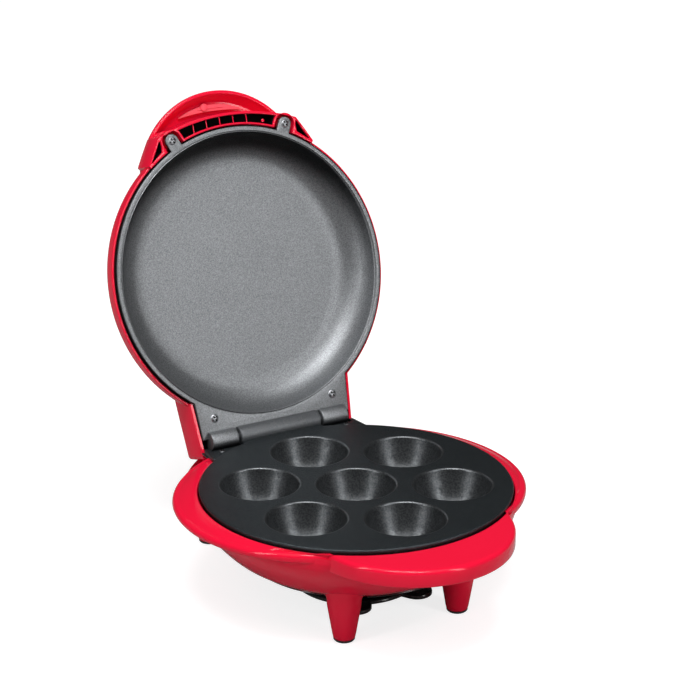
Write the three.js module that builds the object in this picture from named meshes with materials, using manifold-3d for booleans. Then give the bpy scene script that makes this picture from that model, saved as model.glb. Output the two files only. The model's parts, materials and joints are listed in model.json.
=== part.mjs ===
// Seven-cup cake and donut-hole maker: a petal-shaped base on four legs, a cast plate with seven cups,
// and a hinged lid that holds one plain shallow dish. Millimetres, +Z up, front towards -Y.
import * as THREE from "three";
import { mergeVertices } from "three/addons/utils/BufferGeometryUtils.js";
import Module from "manifold-3d";

const wasm = await Module();
wasm.setup();

// ---------------------------------------------------------------- driving dimensions
const GAP = 0.4; // air between pieces that touch
const WALL = 2.4; // moulded walls of the base
const LID_WALL = 2.2; // moulded walls of the lid

const PLATE = { radius: 101.1, top: 75.6, under: 72.8, skirt: 68, opening: 101.9 };
const CUP = { pitch: 62, rim: 25.3, depth: 24, wall: 1.9, around: 6 };
const EXTENSION = { front: 59, back: 56.5, rear: 103.7, top: 73.4, thick: 3 };

const HINGE = { y: 106.3, z: 76.7, radius: 6.5, half: 51.6, split: 31.8, gap: 1.6 };
const PIN_RADIUS = 2.3;
const OPEN_ANGLE = THREE.MathUtils.degToRad(108.6);

const RIM = { top: 72.8, skirtBottom: 61, rear: 101.8, frontFall: 0.07, sideFall: 0.3 };
const FRONT_PETAL = { x: 0, y: -67, radius: 66 };
const SIDE_PETAL = { x: 17.5, y: 8, radius: 100 };
const REAR_CORNER = { wide: [97, 69], narrow: [61, 102.5] };
const BOWL = { bottom: 31, lip: 63, lipTop: 33.4, rim: 104.2 };
const BELLY = [[73, 31], [83, 37.3], [91.3, 45], [98, 53], [102.6, 60], [BOWL.rim, 66]];
const TAIL = { half: 62, front: 60, rear: 131, bottom: 33, corner: 13, roofFront: 65, roofFall: 0.3365 };
const REAR_WALL = { half: 60.4, front: 90, rear: 101.6, low: 62, high: 69.9 };

const FRONT_LEG = { x: 41.7, y: -57.4 };
const REAR_LEG = { x: 48.4, y: 116 };
const LEG = { low: 2.1, flare: 13.6, flareAt: 33, inside: 11, floor: 4.6 };

const LID = { face: 76.8, outer: 102.4, straight: 4, dome: 38, neckFront: 79 };
const NECK = { front: 60.5, back: 57.5, rear: 118, roof: 26 };
const LID_PLATE = { radius: 98.1, dish: 94, depth: 20, thick: 2.2, rim: 3 };
const HANDLE = { y: -62.7, radius: 61.7, brim: 18, rimWall: 2.3, ceiling: 25 };
const CHIN = { arcY: 33.5, arcRadius: 141.4, depth: 15, rib: 10, ribs: 5, span: 36 };
const EAR = { angle: 24.1, radius: 103.9, half: 4.6, pocket: 6.8 };
const REAR_SCREW = { x: 45, y: 91.5 };
const BASE_SCREW = { x: 47.5, y: 95.5 };
const COVER_SCREW = { radius: 68, angles: [90, -10, 190], z: 27.8 };
const BORE = { pilot: 1.8, head: 3.7, boss: 4.4 };

const COVER = { low: 28.2, high: 30.7, radius: 72.4, slot: 1.5, slotPitch: 8, slotLength: 20 };
const CORD_INLET = { z: 44, radius: 5.2, bore: 3.6, depth: 7 };
const LIGHTS = { x: 11, y: -90, radius: 3.6 };
const LOWER_ELEMENT = { radius: 31, z: 63.5, open: 60, end: 76 };
const UPPER_ELEMENT = { radius: 56, z: 102.6, open: 50, end: 70 };
const SENSOR_RADIUS = 76; // from the middle to the thermostat and to the thermal fuse

const AROUND = 48; // facets round the large circles
const PETAL_FACETS = 48; // facets round the base

// ---------------------------------------------------------------- materials
function finish(color, roughness, metalness = 0) {
  return new THREE.MeshStandardMaterial({ color, roughness, metalness });
}

const RED = finish(0xd91f3d, 0.22);
const GRIP_RED = finish(0xf0526b, 0.45);
const DARK_COATING = finish(0x33383b, 0.48, 0.25);
const GREY_COATING = finish(0x84888b, 0.5, 0.35);
const BLACK_PLASTIC = finish(0x161414, 0.4);
const RUBBER = finish(0x1c1a1a, 0.85);
const ZINC = finish(0xb9bcc0, 0.3, 0.9);
const STEEL = finish(0x9a9da1, 0.35, 1);
const ELEMENT = finish(0x4a4744, 0.55, 0.7);
const SHEET = finish(0xc2c5c8, 0.3, 0.9);
const CERAMIC = finish(0xe6e0d2, 0.6);
const RED_LENS = finish(0xc8181c, 0.15);
const GREEN_LENS = finish(0x1c9a46, 0.15);

// ---------------------------------------------------------------- solids
function solid(geometry) {
  const plain = geometry.clone();
  plain.deleteAttribute("normal");
  plain.deleteAttribute("uv");
  const merged = mergeVertices(plain, 1e-4);
  const vertProperties = merged.attributes.position.array;
  const build = (triVerts) => new wasm.Manifold(new wasm.Mesh({ numProp: 3, vertProperties, triVerts }));
  const triangles = new Uint32Array(merged.index.array);
  const made = build(triangles);
  return made.volume() > 0 ? made : build(triangles.reverse());
}

// A profile of [radius, height] pairs turned about the vertical axis.
function turned(profile, facets = AROUND) {
  const points = profile.map(([r, z]) => new THREE.Vector2(r, z));
  return solid(new THREE.LatheGeometry(points, facets).rotateX(Math.PI / 2));
}

function rod(radius, low, high, facets = 16) {
  return turned([[0, low], [radius, low], [radius, high], [0, high]], facets);
}

function block(x, y, z) {
  const size = [x[1] - x[0], y[1] - y[0], z[1] - z[0]];
  const middle = [(x[0] + x[1]) / 2, (y[0] + y[1]) / 2, (z[0] + z[1]) / 2];
  return solid(new THREE.BoxGeometry(...size).translate(...middle));
}

function slab(points, low, high) {
  const corners = Array.isArray(points) && points.map(([x, y]) => new THREE.Vector2(x, y));
  const shape = corners ? new THREE.Shape(corners) : points;
  const options = { depth: high - low, bevelEnabled: false, curveSegments: 8 };
  return solid(new THREE.ExtrudeGeometry(shape, options).translate(0, 0, low));
}

// A bar of constant side view: points are [y, z], from x = -half to x = half.
function sideBar(points, half) {
  const shape = new THREE.Shape(points.map(([y, z]) => new THREE.Vector2(y, z)));
  const bar = new THREE.ExtrudeGeometry(shape, { depth: 2 * half, bevelEnabled: false });
  return solid(bar.rotateZ(Math.PI / 2).rotateY(Math.PI / 2).translate(-half, 0, 0));
}

function axle(radius, from, to, facets = 24) {
  const bar = new THREE.CylinderGeometry(radius, radius, to - from, facets);
  return solid(bar.rotateZ(Math.PI / 2).translate((from + to) / 2, HINGE.y, HINGE.z));
}

function tube(curve, radius, steps) {
  const section = new THREE.Shape().absarc(0, 0, radius, 0, 2 * Math.PI);
  const options = { steps, extrudePath: curve, bevelEnabled: false, curveSegments: 4 };
  return solid(new THREE.ExtrudeGeometry(section, options));
}

function moved(shape, x, y, z = 0) {
  return shape.translate([x, y, z]);
}

function mirrored(shape) {
  return shape.add(shape.mirror([1, 0, 0]));
}

function joined(shapes) {
  return shapes.reduce((all, next) => all.add(next));
}

function polar(radius, degrees) {
  const angle = THREE.MathUtils.degToRad(degrees);
  return [radius * Math.cos(angle), radius * Math.sin(angle)];
}

function mesh(name, shape, material) {
  const { vertProperties, triVerts } = shape.getMesh();
  const geometry = new THREE.BufferGeometry();
  geometry.setAttribute("position", new THREE.BufferAttribute(vertProperties, 3));
  geometry.setIndex(new THREE.BufferAttribute(triVerts, 1));
  geometry.computeVertexNormals();
  const made = new THREE.Mesh(geometry, material);
  made.name = name;
  return made;
}

// ---------------------------------------------------------------- the petal outline of the base
function reach(angle, circle, side = 1) {
  const along = side * circle.x * Math.cos(angle) + circle.y * Math.sin(angle);
  const rest = circle.radius ** 2 - circle.x ** 2 - circle.y ** 2 + along ** 2;
  return rest > 0 ? along + Math.sqrt(rest) : 0;
}

function outline(angle) {
  const front = Math.sin(angle) < 0 ? reach(angle, FRONT_PETAL) : 0;
  const side = Math.max(reach(angle, SIDE_PETAL), reach(angle, SIDE_PETAL, -1));
  const [[x1, y1], [x2, y2]] = [REAR_CORNER.wide, REAR_CORNER.narrow];
  const slant = (y2 - y1) * Math.abs(Math.cos(angle)) + (x1 - x2) * Math.sin(angle);
  const corner = slant > 0 ? ((y2 - y1) * x1 + (x1 - x2) * y1) / slant : Infinity;
  const rear = Math.sin(angle) > 0 ? REAR_CORNER.narrow[1] / Math.sin(angle) : Infinity;
  return { radius: Math.min(Math.max(front, side), corner, rear), isFront: front > side };
}

// Rings that follow the outline: each profile entry is [inset, height], with null inset on the axis.
function petalSolid(profile, facets = PETAL_FACETS) {
  const unit = profile.map(([inset, z]) => new THREE.Vector2(inset === null ? 0 : 1, z));
  const geometry = new THREE.LatheGeometry(unit, facets).rotateX(Math.PI / 2);
  const place = geometry.attributes.position;
  for (let i = 0; i < place.count; i++) {
    const inset = profile[i % profile.length][0];
    if (inset === null) continue;
    const angle = Math.atan2(place.getY(i), place.getX(i));
    const { radius, isFront } = outline(angle);
    const fall = (isFront ? RIM.frontFall : RIM.sideFall) * (radius - PLATE.radius);
    const r = radius - inset;
    place.setXYZ(i, r * Math.cos(angle), r * Math.sin(angle), place.getZ(i) - fall);
  }
  return solid(geometry);
}

// ---------------------------------------------------------------- fasteners
// A cross-head screw with its head's outer face at height 0, looking up, and its shank below.
function screwShape(headRadius, length) {
  const shank = [[0, -length], [1.4, -length], [1.4, -1.7]];
  const body = turned([...shank, [headRadius, -1.7], [headRadius - 0.8, 0], [0, 0]], 10);
  const arm = headRadius * 0.62;
  const slot = block([-arm, arm], [-0.45, 0.45], [-1.1, 1]);
  return body.subtract(slot).subtract(slot.rotate([0, 0, 90]));
}

// ---------------------------------------------------------------- base
function legShape(top) {
  const side = [[6.6, LEG.low], [7.6, LEG.low + 1.1], [9.6, 17], [11.2, 26], [LEG.flare, LEG.flareAt]];
  return turned([[0, LEG.low], ...side, [LEG.flare, top], [0, top]], 16);
}

function legHollow(top) {
  const side = [[5.2, LEG.floor], [7.2, 17], [8.8, 26], [LEG.inside, LEG.flareAt]];
  const padStemHole = rod(2.4, 0, 6, 8);
  return turned([[0, LEG.floor], ...side, [LEG.inside, top], [0, top]], 10).add(padStemHole);
}

function atEachLeg(front, rear) {
  const fronts = mirrored(moved(front, FRONT_LEG.x, FRONT_LEG.y));
  const rears = mirrored(moved(rear, REAR_LEG.x, REAR_LEG.y));
  return fronts.add(rears);
}

function atBaseScrews(shape) {
  return mirrored(moved(shape, BASE_SCREW.x, BASE_SCREW.y));
}

function atCoverScrews(shape) {
  return joined(COVER_SCREW.angles.map((angle) => moved(shape, ...polar(COVER_SCREW.radius, angle))));
}

function tailPlan(inset) {
  const half = TAIL.half - inset;
  const rear = TAIL.rear - inset;
  const corner = TAIL.corner - inset;
  const plan = new THREE.Shape();
  plan.moveTo(-half, TAIL.front).lineTo(half, TAIL.front).lineTo(half, rear - corner);
  plan.absarc(half - corner, rear - corner, corner, 0, Math.PI / 2);
  plan.absarc(-half + corner, rear - corner, corner, Math.PI / 2, Math.PI);
  return plan;
}

function tailRoof(y, inset) {
  return TAIL.roofFront - inset - TAIL.roofFall * (y - RIM.rear);
}

// Everything over the sloping roof of the rear housing, from one depth backwards.
function aboveTail(inset, from) {
  const rear = TAIL.rear + 10;
  const side = [[from, tailRoof(from, inset)], [rear, tailRoof(rear, inset)], [rear, 120], [from, 120]];
  return sideBar(side, 150);
}

function tailShell() {
  const from = REAR_WALL.front;
  const outside = slab(tailPlan(0), TAIL.bottom, TAIL.roofFront).subtract(aboveTail(0, from));
  const inside = slab(tailPlan(WALL), TAIL.bottom + WALL, TAIL.roofFront - WALL);
  return { outside, inside: inside.subtract(aboveTail(WALL, from)) };
}

// The round room under the plate: open at the top for the plate and at the bottom for the cover.
function bowlCavity() {
  const low = BOWL.bottom - 0.1;
  const lip = [[0, low], [BOWL.lip, low], [BOWL.lip, BOWL.lipTop], [75.5, BOWL.lipTop]];
  const side = BELLY.slice(1, -1).map(([r, z]) => [r - WALL - 0.2, z + 0.4]);
  const mouth = [[PLATE.opening, 66], [PLATE.opening, 90], [0, 90]];
  return turned([...lip, ...side, ...mouth], PETAL_FACETS);
}

function rearWall() {
  const { half, front, rear, low, high } = REAR_WALL;
  return block([-half, half], [front, rear], [low, high]).subtract(rod(PLATE.opening, 50, 90, PETAL_FACETS));
}

function baseHousing() {
  const { top, skirtBottom } = RIM;
  const flange = petalSolid([[null, skirtBottom], [0.2, skirtBottom], [0, 70], [2.2, top], [null, top]]);
  const hollow = petalSolid([[null, 50], [WALL, 50], [WALL, top - WALL], [null, top - WALL]]);
  const bowl = turned([[0, BOWL.bottom], ...BELLY, [BOWL.rim, top - 1], [0, top - 1]], PETAL_FACETS);
  const tail = tailShell();
  const plateBoss = rod(BORE.boss, TAIL.bottom, EXTENSION.top - EXTENSION.thick - GAP);
  const bosses = atBaseScrews(plateBoss).add(atCoverScrews(rod(4, 32, 40, 12)));
  const pilots = atBaseScrews(rod(BORE.pilot, 50, 80, 8)).add(atCoverScrews(rod(BORE.pilot, 20, 41, 8)));
  const overTail = block([-150, 150], [RIM.rear, 160], [60, 90]).intersect(aboveTail(0, REAR_WALL.front));
  const extensionSeat = block([-REAR_WALL.half, REAR_WALL.half], [60, 160], [REAR_WALL.high, 90]);
  return flange
    .subtract(hollow)
    .add(bowl)
    .add(tail.outside)
    .add(atEachLeg(legShape(44), legShape(34)))
    .subtract(bowlCavity())
    .subtract(tail.inside)
    .add(rearWall())
    .add(bosses)
    .subtract(atEachLeg(legHollow(46), legHollow(36)))
    .subtract(extensionSeat)
    .subtract(overTail)
    .subtract(pilots)
    .subtract(cordHole());
}

function cordHole() {
  const radius = CORD_INLET.radius + GAP;
  const hole = new THREE.CylinderGeometry(radius, radius, 20, 16);
  return solid(hole.translate(0, TAIL.rear, CORD_INLET.z));
}

function cordInlet() {
  const { radius, bore, depth, z } = CORD_INLET;
  const collar = [[radius, GAP], [8.2, GAP], [8.2, 2.4], [6.6, 3.8]];
  const bush = turned([[bore, -depth], [radius, -depth], ...collar, [bore, 3.8], [bore, -depth]], 16);
  return bush.rotate([-90, 0, 0]).translate([0, TAIL.rear, z]);
}

function footPad() {
  return turned([[0, 0], [5.8, 0], [6.9, 1.7], [2, 1.7], [2, 6], [0, 6]], 16);
}

function coverVents() {
  const { slot, slotPitch, slotLength } = COVER;
  const vents = [];
  for (const side of [-1, 1]) {
    const middle = side * 44;
    for (let i = -2; i <= 2; i++) {
      const y = i * slotPitch;
      vents.push(block([middle - slotLength / 2, middle + slotLength / 2], [y - slot, y + slot], [20, 40]));
    }
  }
  return joined(vents);
}

function bottomCover() {
  const { low, high, radius } = COVER;
  const disc = turned([[0, low], [radius - 1, low], [radius, low + 1], [radius, high], [0, high]]);
  const upstand = turned([[60.6, 30.5], [62.4, 30.5], [62.4, 33], [60.6, 33], [60.6, 30.5]]);
  const screwHoles = atCoverScrews(rod(BORE.pilot, 20, 41, 8).add(rod(BORE.head, 20, low + 1.4, 16)));
  const legNotch = rod(LEG.flare + 0.6, 20, 40, 24);
  return disc
    .add(upstand)
    .subtract(coverVents())
    .subtract(screwHoles)
    .subtract(atEachLeg(legNotch, legNotch));
}

// The foot of the base: a hub with a wide disc and four ears, round which the cord is wound.
function cordWrap() {
  const disc = [[0, 7.6], [37, 7.6], [40, 8.6], [41.2, 10.4], [40.6, 11.8]];
  const hub = [[20.5, 11.8], [20.5, 27.8], [18.2, 27.8], [18.2, 10], [0, 10]];
  const ears = [-60, -120, 60, 120].map((angle) => {
    const ear = new THREE.Shape();
    ear.moveTo(30, -10).lineTo(45, -10).absarc(45, 0, 10, -Math.PI / 2, Math.PI / 2).lineTo(30, 10);
    return slab(ear, 8.8, 11.8).rotate([0, 0, angle]);
  });
  return turned([...disc, ...hub], 36).add(joined(ears));
}

function cupPlaces() {
  const places = [[0, 0]];
  for (let i = 0; i < CUP.around; i++) places.push(polar(CUP.pitch, 30 + 60 * i));
  return places;
}

function atCups(shape) {
  return joined(cupPlaces().map(([x, y]) => moved(shape, x, y)));
}

// The curved wall of a cup, from near its floor up to near its rim: [radius, height].
function cupSide() {
  const { rim, depth } = CUP;
  const drops = [[12.3, depth - 0.6], [8, 21.2], [5, 17], [2.7, 9.6], [1.1, 2]];
  return drops.map(([narrower, below]) => [rim - narrower, PLATE.top - below]);
}

function cupInside() {
  const mouth = [[CUP.rim, PLATE.top - 0.4], [CUP.rim + 1, PLATE.top + 1], [0, PLATE.top + 1]];
  return turned([[0, PLATE.top - CUP.depth], ...cupSide(), ...mouth], 16);
}

function cupOutside() {
  const fewer = cupSide().filter((_, i) => i !== 3);
  const side = fewer.map(([r, z]) => [r + CUP.wall, z - CUP.wall / 2]);
  const floor = PLATE.top - CUP.depth - CUP.wall;
  const top = PLATE.under + 1.2;
  return turned([[0, floor], [side[0][0] - 3, floor], ...side, [side.at(-1)[0], top], [0, top]], 12);
}

function knuckle(from, to) {
  return axle(HINGE.radius, from, to);
}

function lowerDisc() {
  const { radius, top, under, skirt } = PLATE;
  return turned([
    [0, under], [97.4, under], [97.4, skirt], [99.8, skirt], [100.3, 72.6],
    [radius, 73.8], [radius, 74.9], [100.4, top], [0, top],
  ]);
}

// The tongue at the back of the lower plate that carries the middle hinge barrel.
function lowerExtension() {
  const { front, back, rear, top, thick } = EXTENSION;
  const low = top - thick;
  const middle = HINGE.split - HINGE.gap;
  const tongue = slab([[-front, 84], [front, 84], [back, rear], [-back, rear]], low, top);
  const barrelRelief = mirrored(block([HINGE.split - 0.2, 53.4], [98.7, 120], [60, 90]));
  const web = block([-middle, middle], [96, HINGE.y], [low, HINGE.z - 2]);
  return tongue.subtract(barrelRelief).add(web).add(knuckle(-middle, middle));
}

function lowerPlate() {
  const { front, top, thick } = EXTENSION;
  const skirtRelief = block([-front - 1, front + 1], [80, 120], [60, top - thick]);
  const fixing = rod(BORE.pilot, 60, 80, 8).add(rod(BORE.head, top - 1.2, 80));
  return lowerDisc()
    .subtract(skirtRelief)
    .add(atCups(cupOutside()))
    .add(lowerExtension())
    .subtract(atCups(cupInside()))
    .subtract(atBaseScrews(fixing))
    .subtract(axle(PIN_RADIUS + GAP, -60, 60, 16));
}

// ---------------------------------------------------------------- inside the base
// A tubular heater: a ring open at the back, with a straight end on each side of the opening.
function heatingElement(radius, height, openDegrees, endRadius) {
  const start = 90 + openDegrees / 2;
  const step = (360 - openDegrees) / 12;
  const ring = [];
  for (let i = 0; i <= 12; i++) ring.push(polar(radius, start + i * step));
  const ends = [polar(endRadius, start), polar(endRadius, start - openDegrees)];
  const path = [ends[0], ...ring, ends[1]].map(([x, y]) => new THREE.Vector3(x, y, height));
  return tube(new THREE.CatmullRomCurve3(path, false, "centripetal"), 3.2, 40);
}

function heatShield() {
  const tray = [[0, 43.6], [76, 43.6], [82.4, 48.4], [81.6, 49.2], [75.6, 44.6], [0, 44.6]];
  return turned(tray, 32).subtract(rod(6, 40, 50, 12));
}

function thermostat() {
  const terminals = block([-9.5, 9.5], [-2, 2], [62.5, 63.5]);
  return rod(7.5, 61, 66, 16).add(rod(5, 66, 72.4, 16)).add(terminals);
}

function thermalFuse() {
  const body = new THREE.CylinderGeometry(2.6, 2.6, 16, 12).translate(0, 0, 69);
  const leads = new THREE.CylinderGeometry(0.8, 0.8, 26, 8).translate(0, 0, 69);
  return solid(body).add(solid(leads));
}

function terminalBlock() {
  const body = block([-16, 16], [105, 117], [36, 47]);
  const wells = [-10, 0, 10].map((x) => moved(rod(2.2, 41, 60, 10), x, 111));
  return body.subtract(joined(wells));
}

// ---------------------------------------------------------------- lid, drawn closed
function domeProfile(outer, height, start, steps = 7) {
  const points = [];
  for (let i = 0; i <= steps; i++) {
    const angle = (i / steps) * (Math.PI / 2);
    points.push([outer * Math.cos(angle), start + height * Math.sin(angle)]);
  }
  points[steps][0] = 0;
  return points;
}

function lidDome(inset) {
  const low = inset ? LID.face - 1 : LID.face;
  const radius = LID.outer - inset;
  const dome = domeProfile(radius, LID.dome - inset, LID.face + LID.straight);
  return turned([[0, low], [radius, low], ...dome]);
}

// The raised front petal whose brim is the handle; inset shrinks it for the hollow inside.
function handlePetal(inset, low) {
  const r = HANDLE.radius - inset;
  const z = (h) => LID.face + h - inset;
  const edge = [[r, z(20)], [r - 2, z(23.6)], [r - 6, z(26.6)], [r - 13, z(29.6)]];
  const top = [[r - 30, z(33.2)], [0, z(35)]];
  return moved(turned([[0, low], [r, low], ...edge, ...top], 36), 0, HANDLE.y);
}

function chinArc(inset, low, high) {
  return moved(rod(CHIN.arcRadius - inset, low, high, 120), 0, CHIN.arcY);
}

function neckPlan(inset) {
  const front = NECK.front - inset;
  const back = NECK.back - inset;
  const rear = NECK.rear - inset;
  const half = [[front + 2, 50], [front, LID.neckFront], [back, rear]];
  return [...half, ...half.map(([x, y]) => [-x, y]).reverse()];
}

function neckShape() {
  const roof = LID.face + NECK.roof;
  const { rear } = NECK;
  const side = [[40, 70], [rear + 1, 70], [rear + 1, roof - 5], [rear - 5, roof + 0.1], [40, roof + 0.1]];
  return slab(neckPlan(0), LID.face, roof).intersect(sideBar(side, 90));
}

function earPlaces() {
  return [polar(EAR.radius, -90 - EAR.angle), polar(EAR.radius, -90 + EAR.angle)];
}

function alongEar(radius, from, low, high) {
  const slot = new THREE.Shape();
  slot.moveTo(from, -radius).lineTo(EAR.radius, -radius);
  slot.absarc(EAR.radius, 0, radius, -Math.PI / 2, Math.PI / 2).lineTo(from, radius);
  return slab(slot, low, high);
}

function atEars(shape) {
  return shape.rotate([0, 0, -90 - EAR.angle]).add(shape.rotate([0, 0, -90 + EAR.angle]));
}

function atRearScrews(shape) {
  return mirrored(moved(shape, REAR_SCREW.x, REAR_SCREW.y));
}

function chinRibs(low, high) {
  const ribs = [];
  for (let i = 0; i < CHIN.ribs; i++) {
    const x = (i - CHIN.ribs / 2) * CHIN.rib;
    ribs.push(block([x - 0.6, x + 0.6], [-120, -90], [low, high]));
  }
  return joined(ribs);
}

// The open pockets between the round rim and the front wall: ribbed in the middle, a U round each ear.
function chinHollows() {
  const low = LID.face - 1;
  const high = LID.face + CHIN.depth;
  const floor = LID.face + 9;
  const band = chinArc(1.8, low, high).subtract(rod(LID.outer - 0.2, low - 1, high + 1, AROUND));
  const middle = band
    .intersect(block([-CHIN.span, CHIN.span], [-130, -90], [low - 1, high + 1]))
    .subtract(chinRibs(LID.face + 4.5, high + 1))
    .subtract(atEars(alongEar(EAR.pocket + 1.6, 90, low - 1, high + 1)));
  const post = moved(rod(BORE.boss, 80.2, 110), EAR.radius, 0);
  const pockets = atEars(alongEar(EAR.pocket, 90, low, floor)).subtract(atEars(post));
  const corners = mirrored(slab([[50, -97], [57.2, -85], [51.2, -88.9]], low, high));
  return joined([middle, pockets, corners]);
}

// Room for the fingers: open in front of the front wall, and let up into the brim.
function fingerRecess() {
  const low = LID.face - 1;
  const brim = LID.face + HANDLE.brim;
  const ceiling = LID.face + HANDLE.ceiling;
  const inside = HANDLE.radius - HANDLE.rimWall;
  const ahead = block([-80, 80], [-140, -60], [low, brim]).subtract(chinArc(0, low - 1, brim + 1));
  const side = [[inside, brim - 1], [inside - 1, brim + 2], [HANDLE.radius - 6.5, ceiling]];
  const pocket = moved(turned([[0, brim - 1], ...side, [0, ceiling]], 36), 0, HANDLE.y);
  return ahead.add(pocket.subtract(chinArc(0, low, brim + 20)));
}

function lidShell() {
  const roof = LID.face + NECK.roof;
  const inside = joined([
    lidDome(LID_WALL),
    slab(neckPlan(2), LID.face - 1, roof - LID_WALL),
    handlePetal(LID_WALL, 90).subtract(fingerWall()),
  ]);
  const columns = atRearScrews(rod(BORE.boss, 80.2, roof - 1));
  const pilot = rod(BORE.pilot, 70, 92, 8);
  const lightHoles = mirrored(moved(rod(LIGHTS.radius + GAP, 95, 130), LIGHTS.x, LIGHTS.y));
  return joined([lidDome(0), neckShape(), handlePetal(0, LID.face)])
    .subtract(inside)
    .add(columns)
    .subtract(fingerRecess())
    .subtract(chinHollows())
    .subtract(atRearScrews(pilot))
    .subtract(atEars(moved(pilot, EAR.radius, 0)))
    .subtract(lightHoles);
}

// The part of the handle petal in front of the round lid stays solid below the finger recess's ceiling.
function fingerWall() {
  const ahead = block([-80, 80], [-140, -60], [80, LID.face + HANDLE.ceiling + LID_WALL]);
  return ahead.subtract(rod(LID.outer - LID_WALL, 70, 130, AROUND));
}

function handleLiner() {
  const low = LID.face + HANDLE.ceiling - 1.5;
  const crescent = moved(rod(HANDLE.radius - 9, low, low + 1.1, 36), 0, HANDLE.y);
  const boss = moved(rod(3, low - 0.5, low + 1, 16), 0, -114);
  return crescent.subtract(moved(rod(CHIN.arcRadius + 3, 0, 200, 120), 0, CHIN.arcY)).add(boss);
}

// The pressed dish of the upper plate, as the solid outside it and the hollow inside it.
function dishShapes() {
  const { face } = LID;
  const { dish, depth, thick, rim } = LID_PLATE;
  const floor = face + depth;
  const bottom = face + rim;
  const curve = [[1, 2.2], [2.5, 7], [5.5, 12.6], [10.4, 17.4]];
  const wall = curve.map(([inwards, up]) => [dish - inwards, face + up]);
  const mouth = [[0, face - 1], [dish + 0.6, face - 1], [dish, face + 0.3]];
  const hollow = turned([...mouth, ...wall, [dish - 18, floor - 0.4], [0, floor]]);
  const shoulder = wall.slice(1).map(([r, z]) => [r + thick, z + 0.9]);
  const back = [[dish - 17, floor + thick], [0, floor + thick]];
  const pan = turned([[0, bottom - 0.5], [dish + 1.4, bottom - 0.5], ...shoulder, ...back]);
  return { hollow, pan };
}

// The tongue at the back of the upper plate that carries the two outer hinge barrels.
function upperExtension(low, high) {
  const between = HINGE.split - 0.2;
  const tongue = slab([[-57.7, 76], [57.7, 76], [55.1, 110.6], [-55.1, 110.6]], low, high);
  const barrels = mirrored(knuckle(HINGE.split + 0.2, HINGE.half));
  return tongue.subtract(block([-between, between], [98.7, 120], [60, 100])).add(barrels);
}

function upperPlate() {
  const { face } = LID;
  const { radius, rim } = LID_PLATE;
  const bottom = face + rim;
  const edge = [[radius - 0.7, face], [radius, face + 0.7], [radius, bottom]];
  const flange = turned([[0, face], ...edge, [0, bottom]]);
  const { hollow, pan } = dishShapes();
  const ears = atEars(alongEar(EAR.half, 90, face, bottom));
  const fixing = rod(BORE.pilot, 70, 90, 8).add(rod(BORE.head, 70, face + 1.3));
  return joined([flange, pan, upperExtension(face, bottom), ears])
    .subtract(hollow)
    .subtract(axle(PIN_RADIUS + GAP, -60, 60, 16))
    .subtract(atEars(moved(fixing, EAR.radius, 0)))
    .subtract(atRearScrews(fixing));
}

function lens() {
  return turned([[0, 104], [LIGHTS.radius, 104], [LIGHTS.radius, 110.6], [2.2, 111.8], [0, 112.2]], 16);
}

function lampHolder() {
  const sockets = mirrored(moved(rod(2, 101, 105, 10), LIGHTS.x, LIGHTS.y));
  return block([-17, 17], [LIGHTS.y - 5, LIGHTS.y + 5], [99.4, 103.4]).subtract(sockets);
}

// ---------------------------------------------------------------- assembly
const SIDES = [["left", -1], ["right", 1]];

function screwAt(name, x, y, z, faceUp, length) {
  const screw = screwShape(3.3, length);
  return mesh(name, moved(faceUp ? screw : screw.rotate([180, 0, 0]), x, y, z), ZINC);
}

function element(name, { radius, z, open, end }) {
  return mesh(name, heatingElement(radius, z, open, end), ELEMENT);
}

function baseFasteners() {
  const screws = COVER_SCREW.angles.map((angle, i) => {
    const [x, y] = polar(COVER_SCREW.radius, angle);
    return screwAt(`bottom_cover_screw_${i + 1}`, x, y, COVER_SCREW.z, false, 9);
  });
  for (const [side, sign] of SIDES) {
    const head = EXTENSION.top + 0.9;
    screws.push(screwAt(`lower_plate_screw_${side}`, sign * BASE_SCREW.x, BASE_SCREW.y, head, true, 12));
  }
  return screws;
}

function footPads() {
  const pads = [];
  for (const [end, leg] of [["front", FRONT_LEG], ["rear", REAR_LEG]]) {
    for (const [side, sign] of SIDES) {
      pads.push(mesh(`${end}_${side}_foot_pad`, moved(footPad(), sign * leg.x, leg.y), RUBBER));
    }
  }
  return pads;
}

function baseGroup() {
  const base = new THREE.Group();
  base.add(mesh("base_housing", baseHousing(), RED));
  base.add(mesh("lower_plate", lowerPlate(), DARK_COATING));
  base.add(mesh("bottom_cover", bottomCover(), BLACK_PLASTIC));
  base.add(mesh("cord_wrap", cordWrap(), BLACK_PLASTIC));
  base.add(mesh("cord_inlet", cordInlet(), BLACK_PLASTIC));
  base.add(...footPads(), ...baseFasteners());
  base.add(element("lower_heating_element", LOWER_ELEMENT));
  base.add(mesh("lower_heat_shield", heatShield(), SHEET));
  base.add(mesh("thermostat", moved(thermostat(), SENSOR_RADIUS, 0), CERAMIC));
  base.add(mesh("thermal_fuse", moved(thermalFuse(), -SENSOR_RADIUS, 0), STEEL));
  base.add(mesh("terminal_block", terminalBlock(), CERAMIC));
  base.add(mesh("hinge_pin", axle(PIN_RADIUS, -HINGE.half + 0.6, HINGE.half - 0.6, 16), STEEL));
  return base;
}

function lidFasteners() {
  const head = LID.face - 0.5;
  const screws = earPlaces().map(([x, y], i) =>
    screwAt(`upper_plate_front_screw_${SIDES[i][0]}`, x, y, head, false, 12),
  );
  for (const [side, sign] of SIDES) {
    const name = `upper_plate_rear_screw_${side}`;
    screws.push(screwAt(name, sign * REAR_SCREW.x, REAR_SCREW.y, head, false, 12));
  }
  return screws;
}

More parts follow.
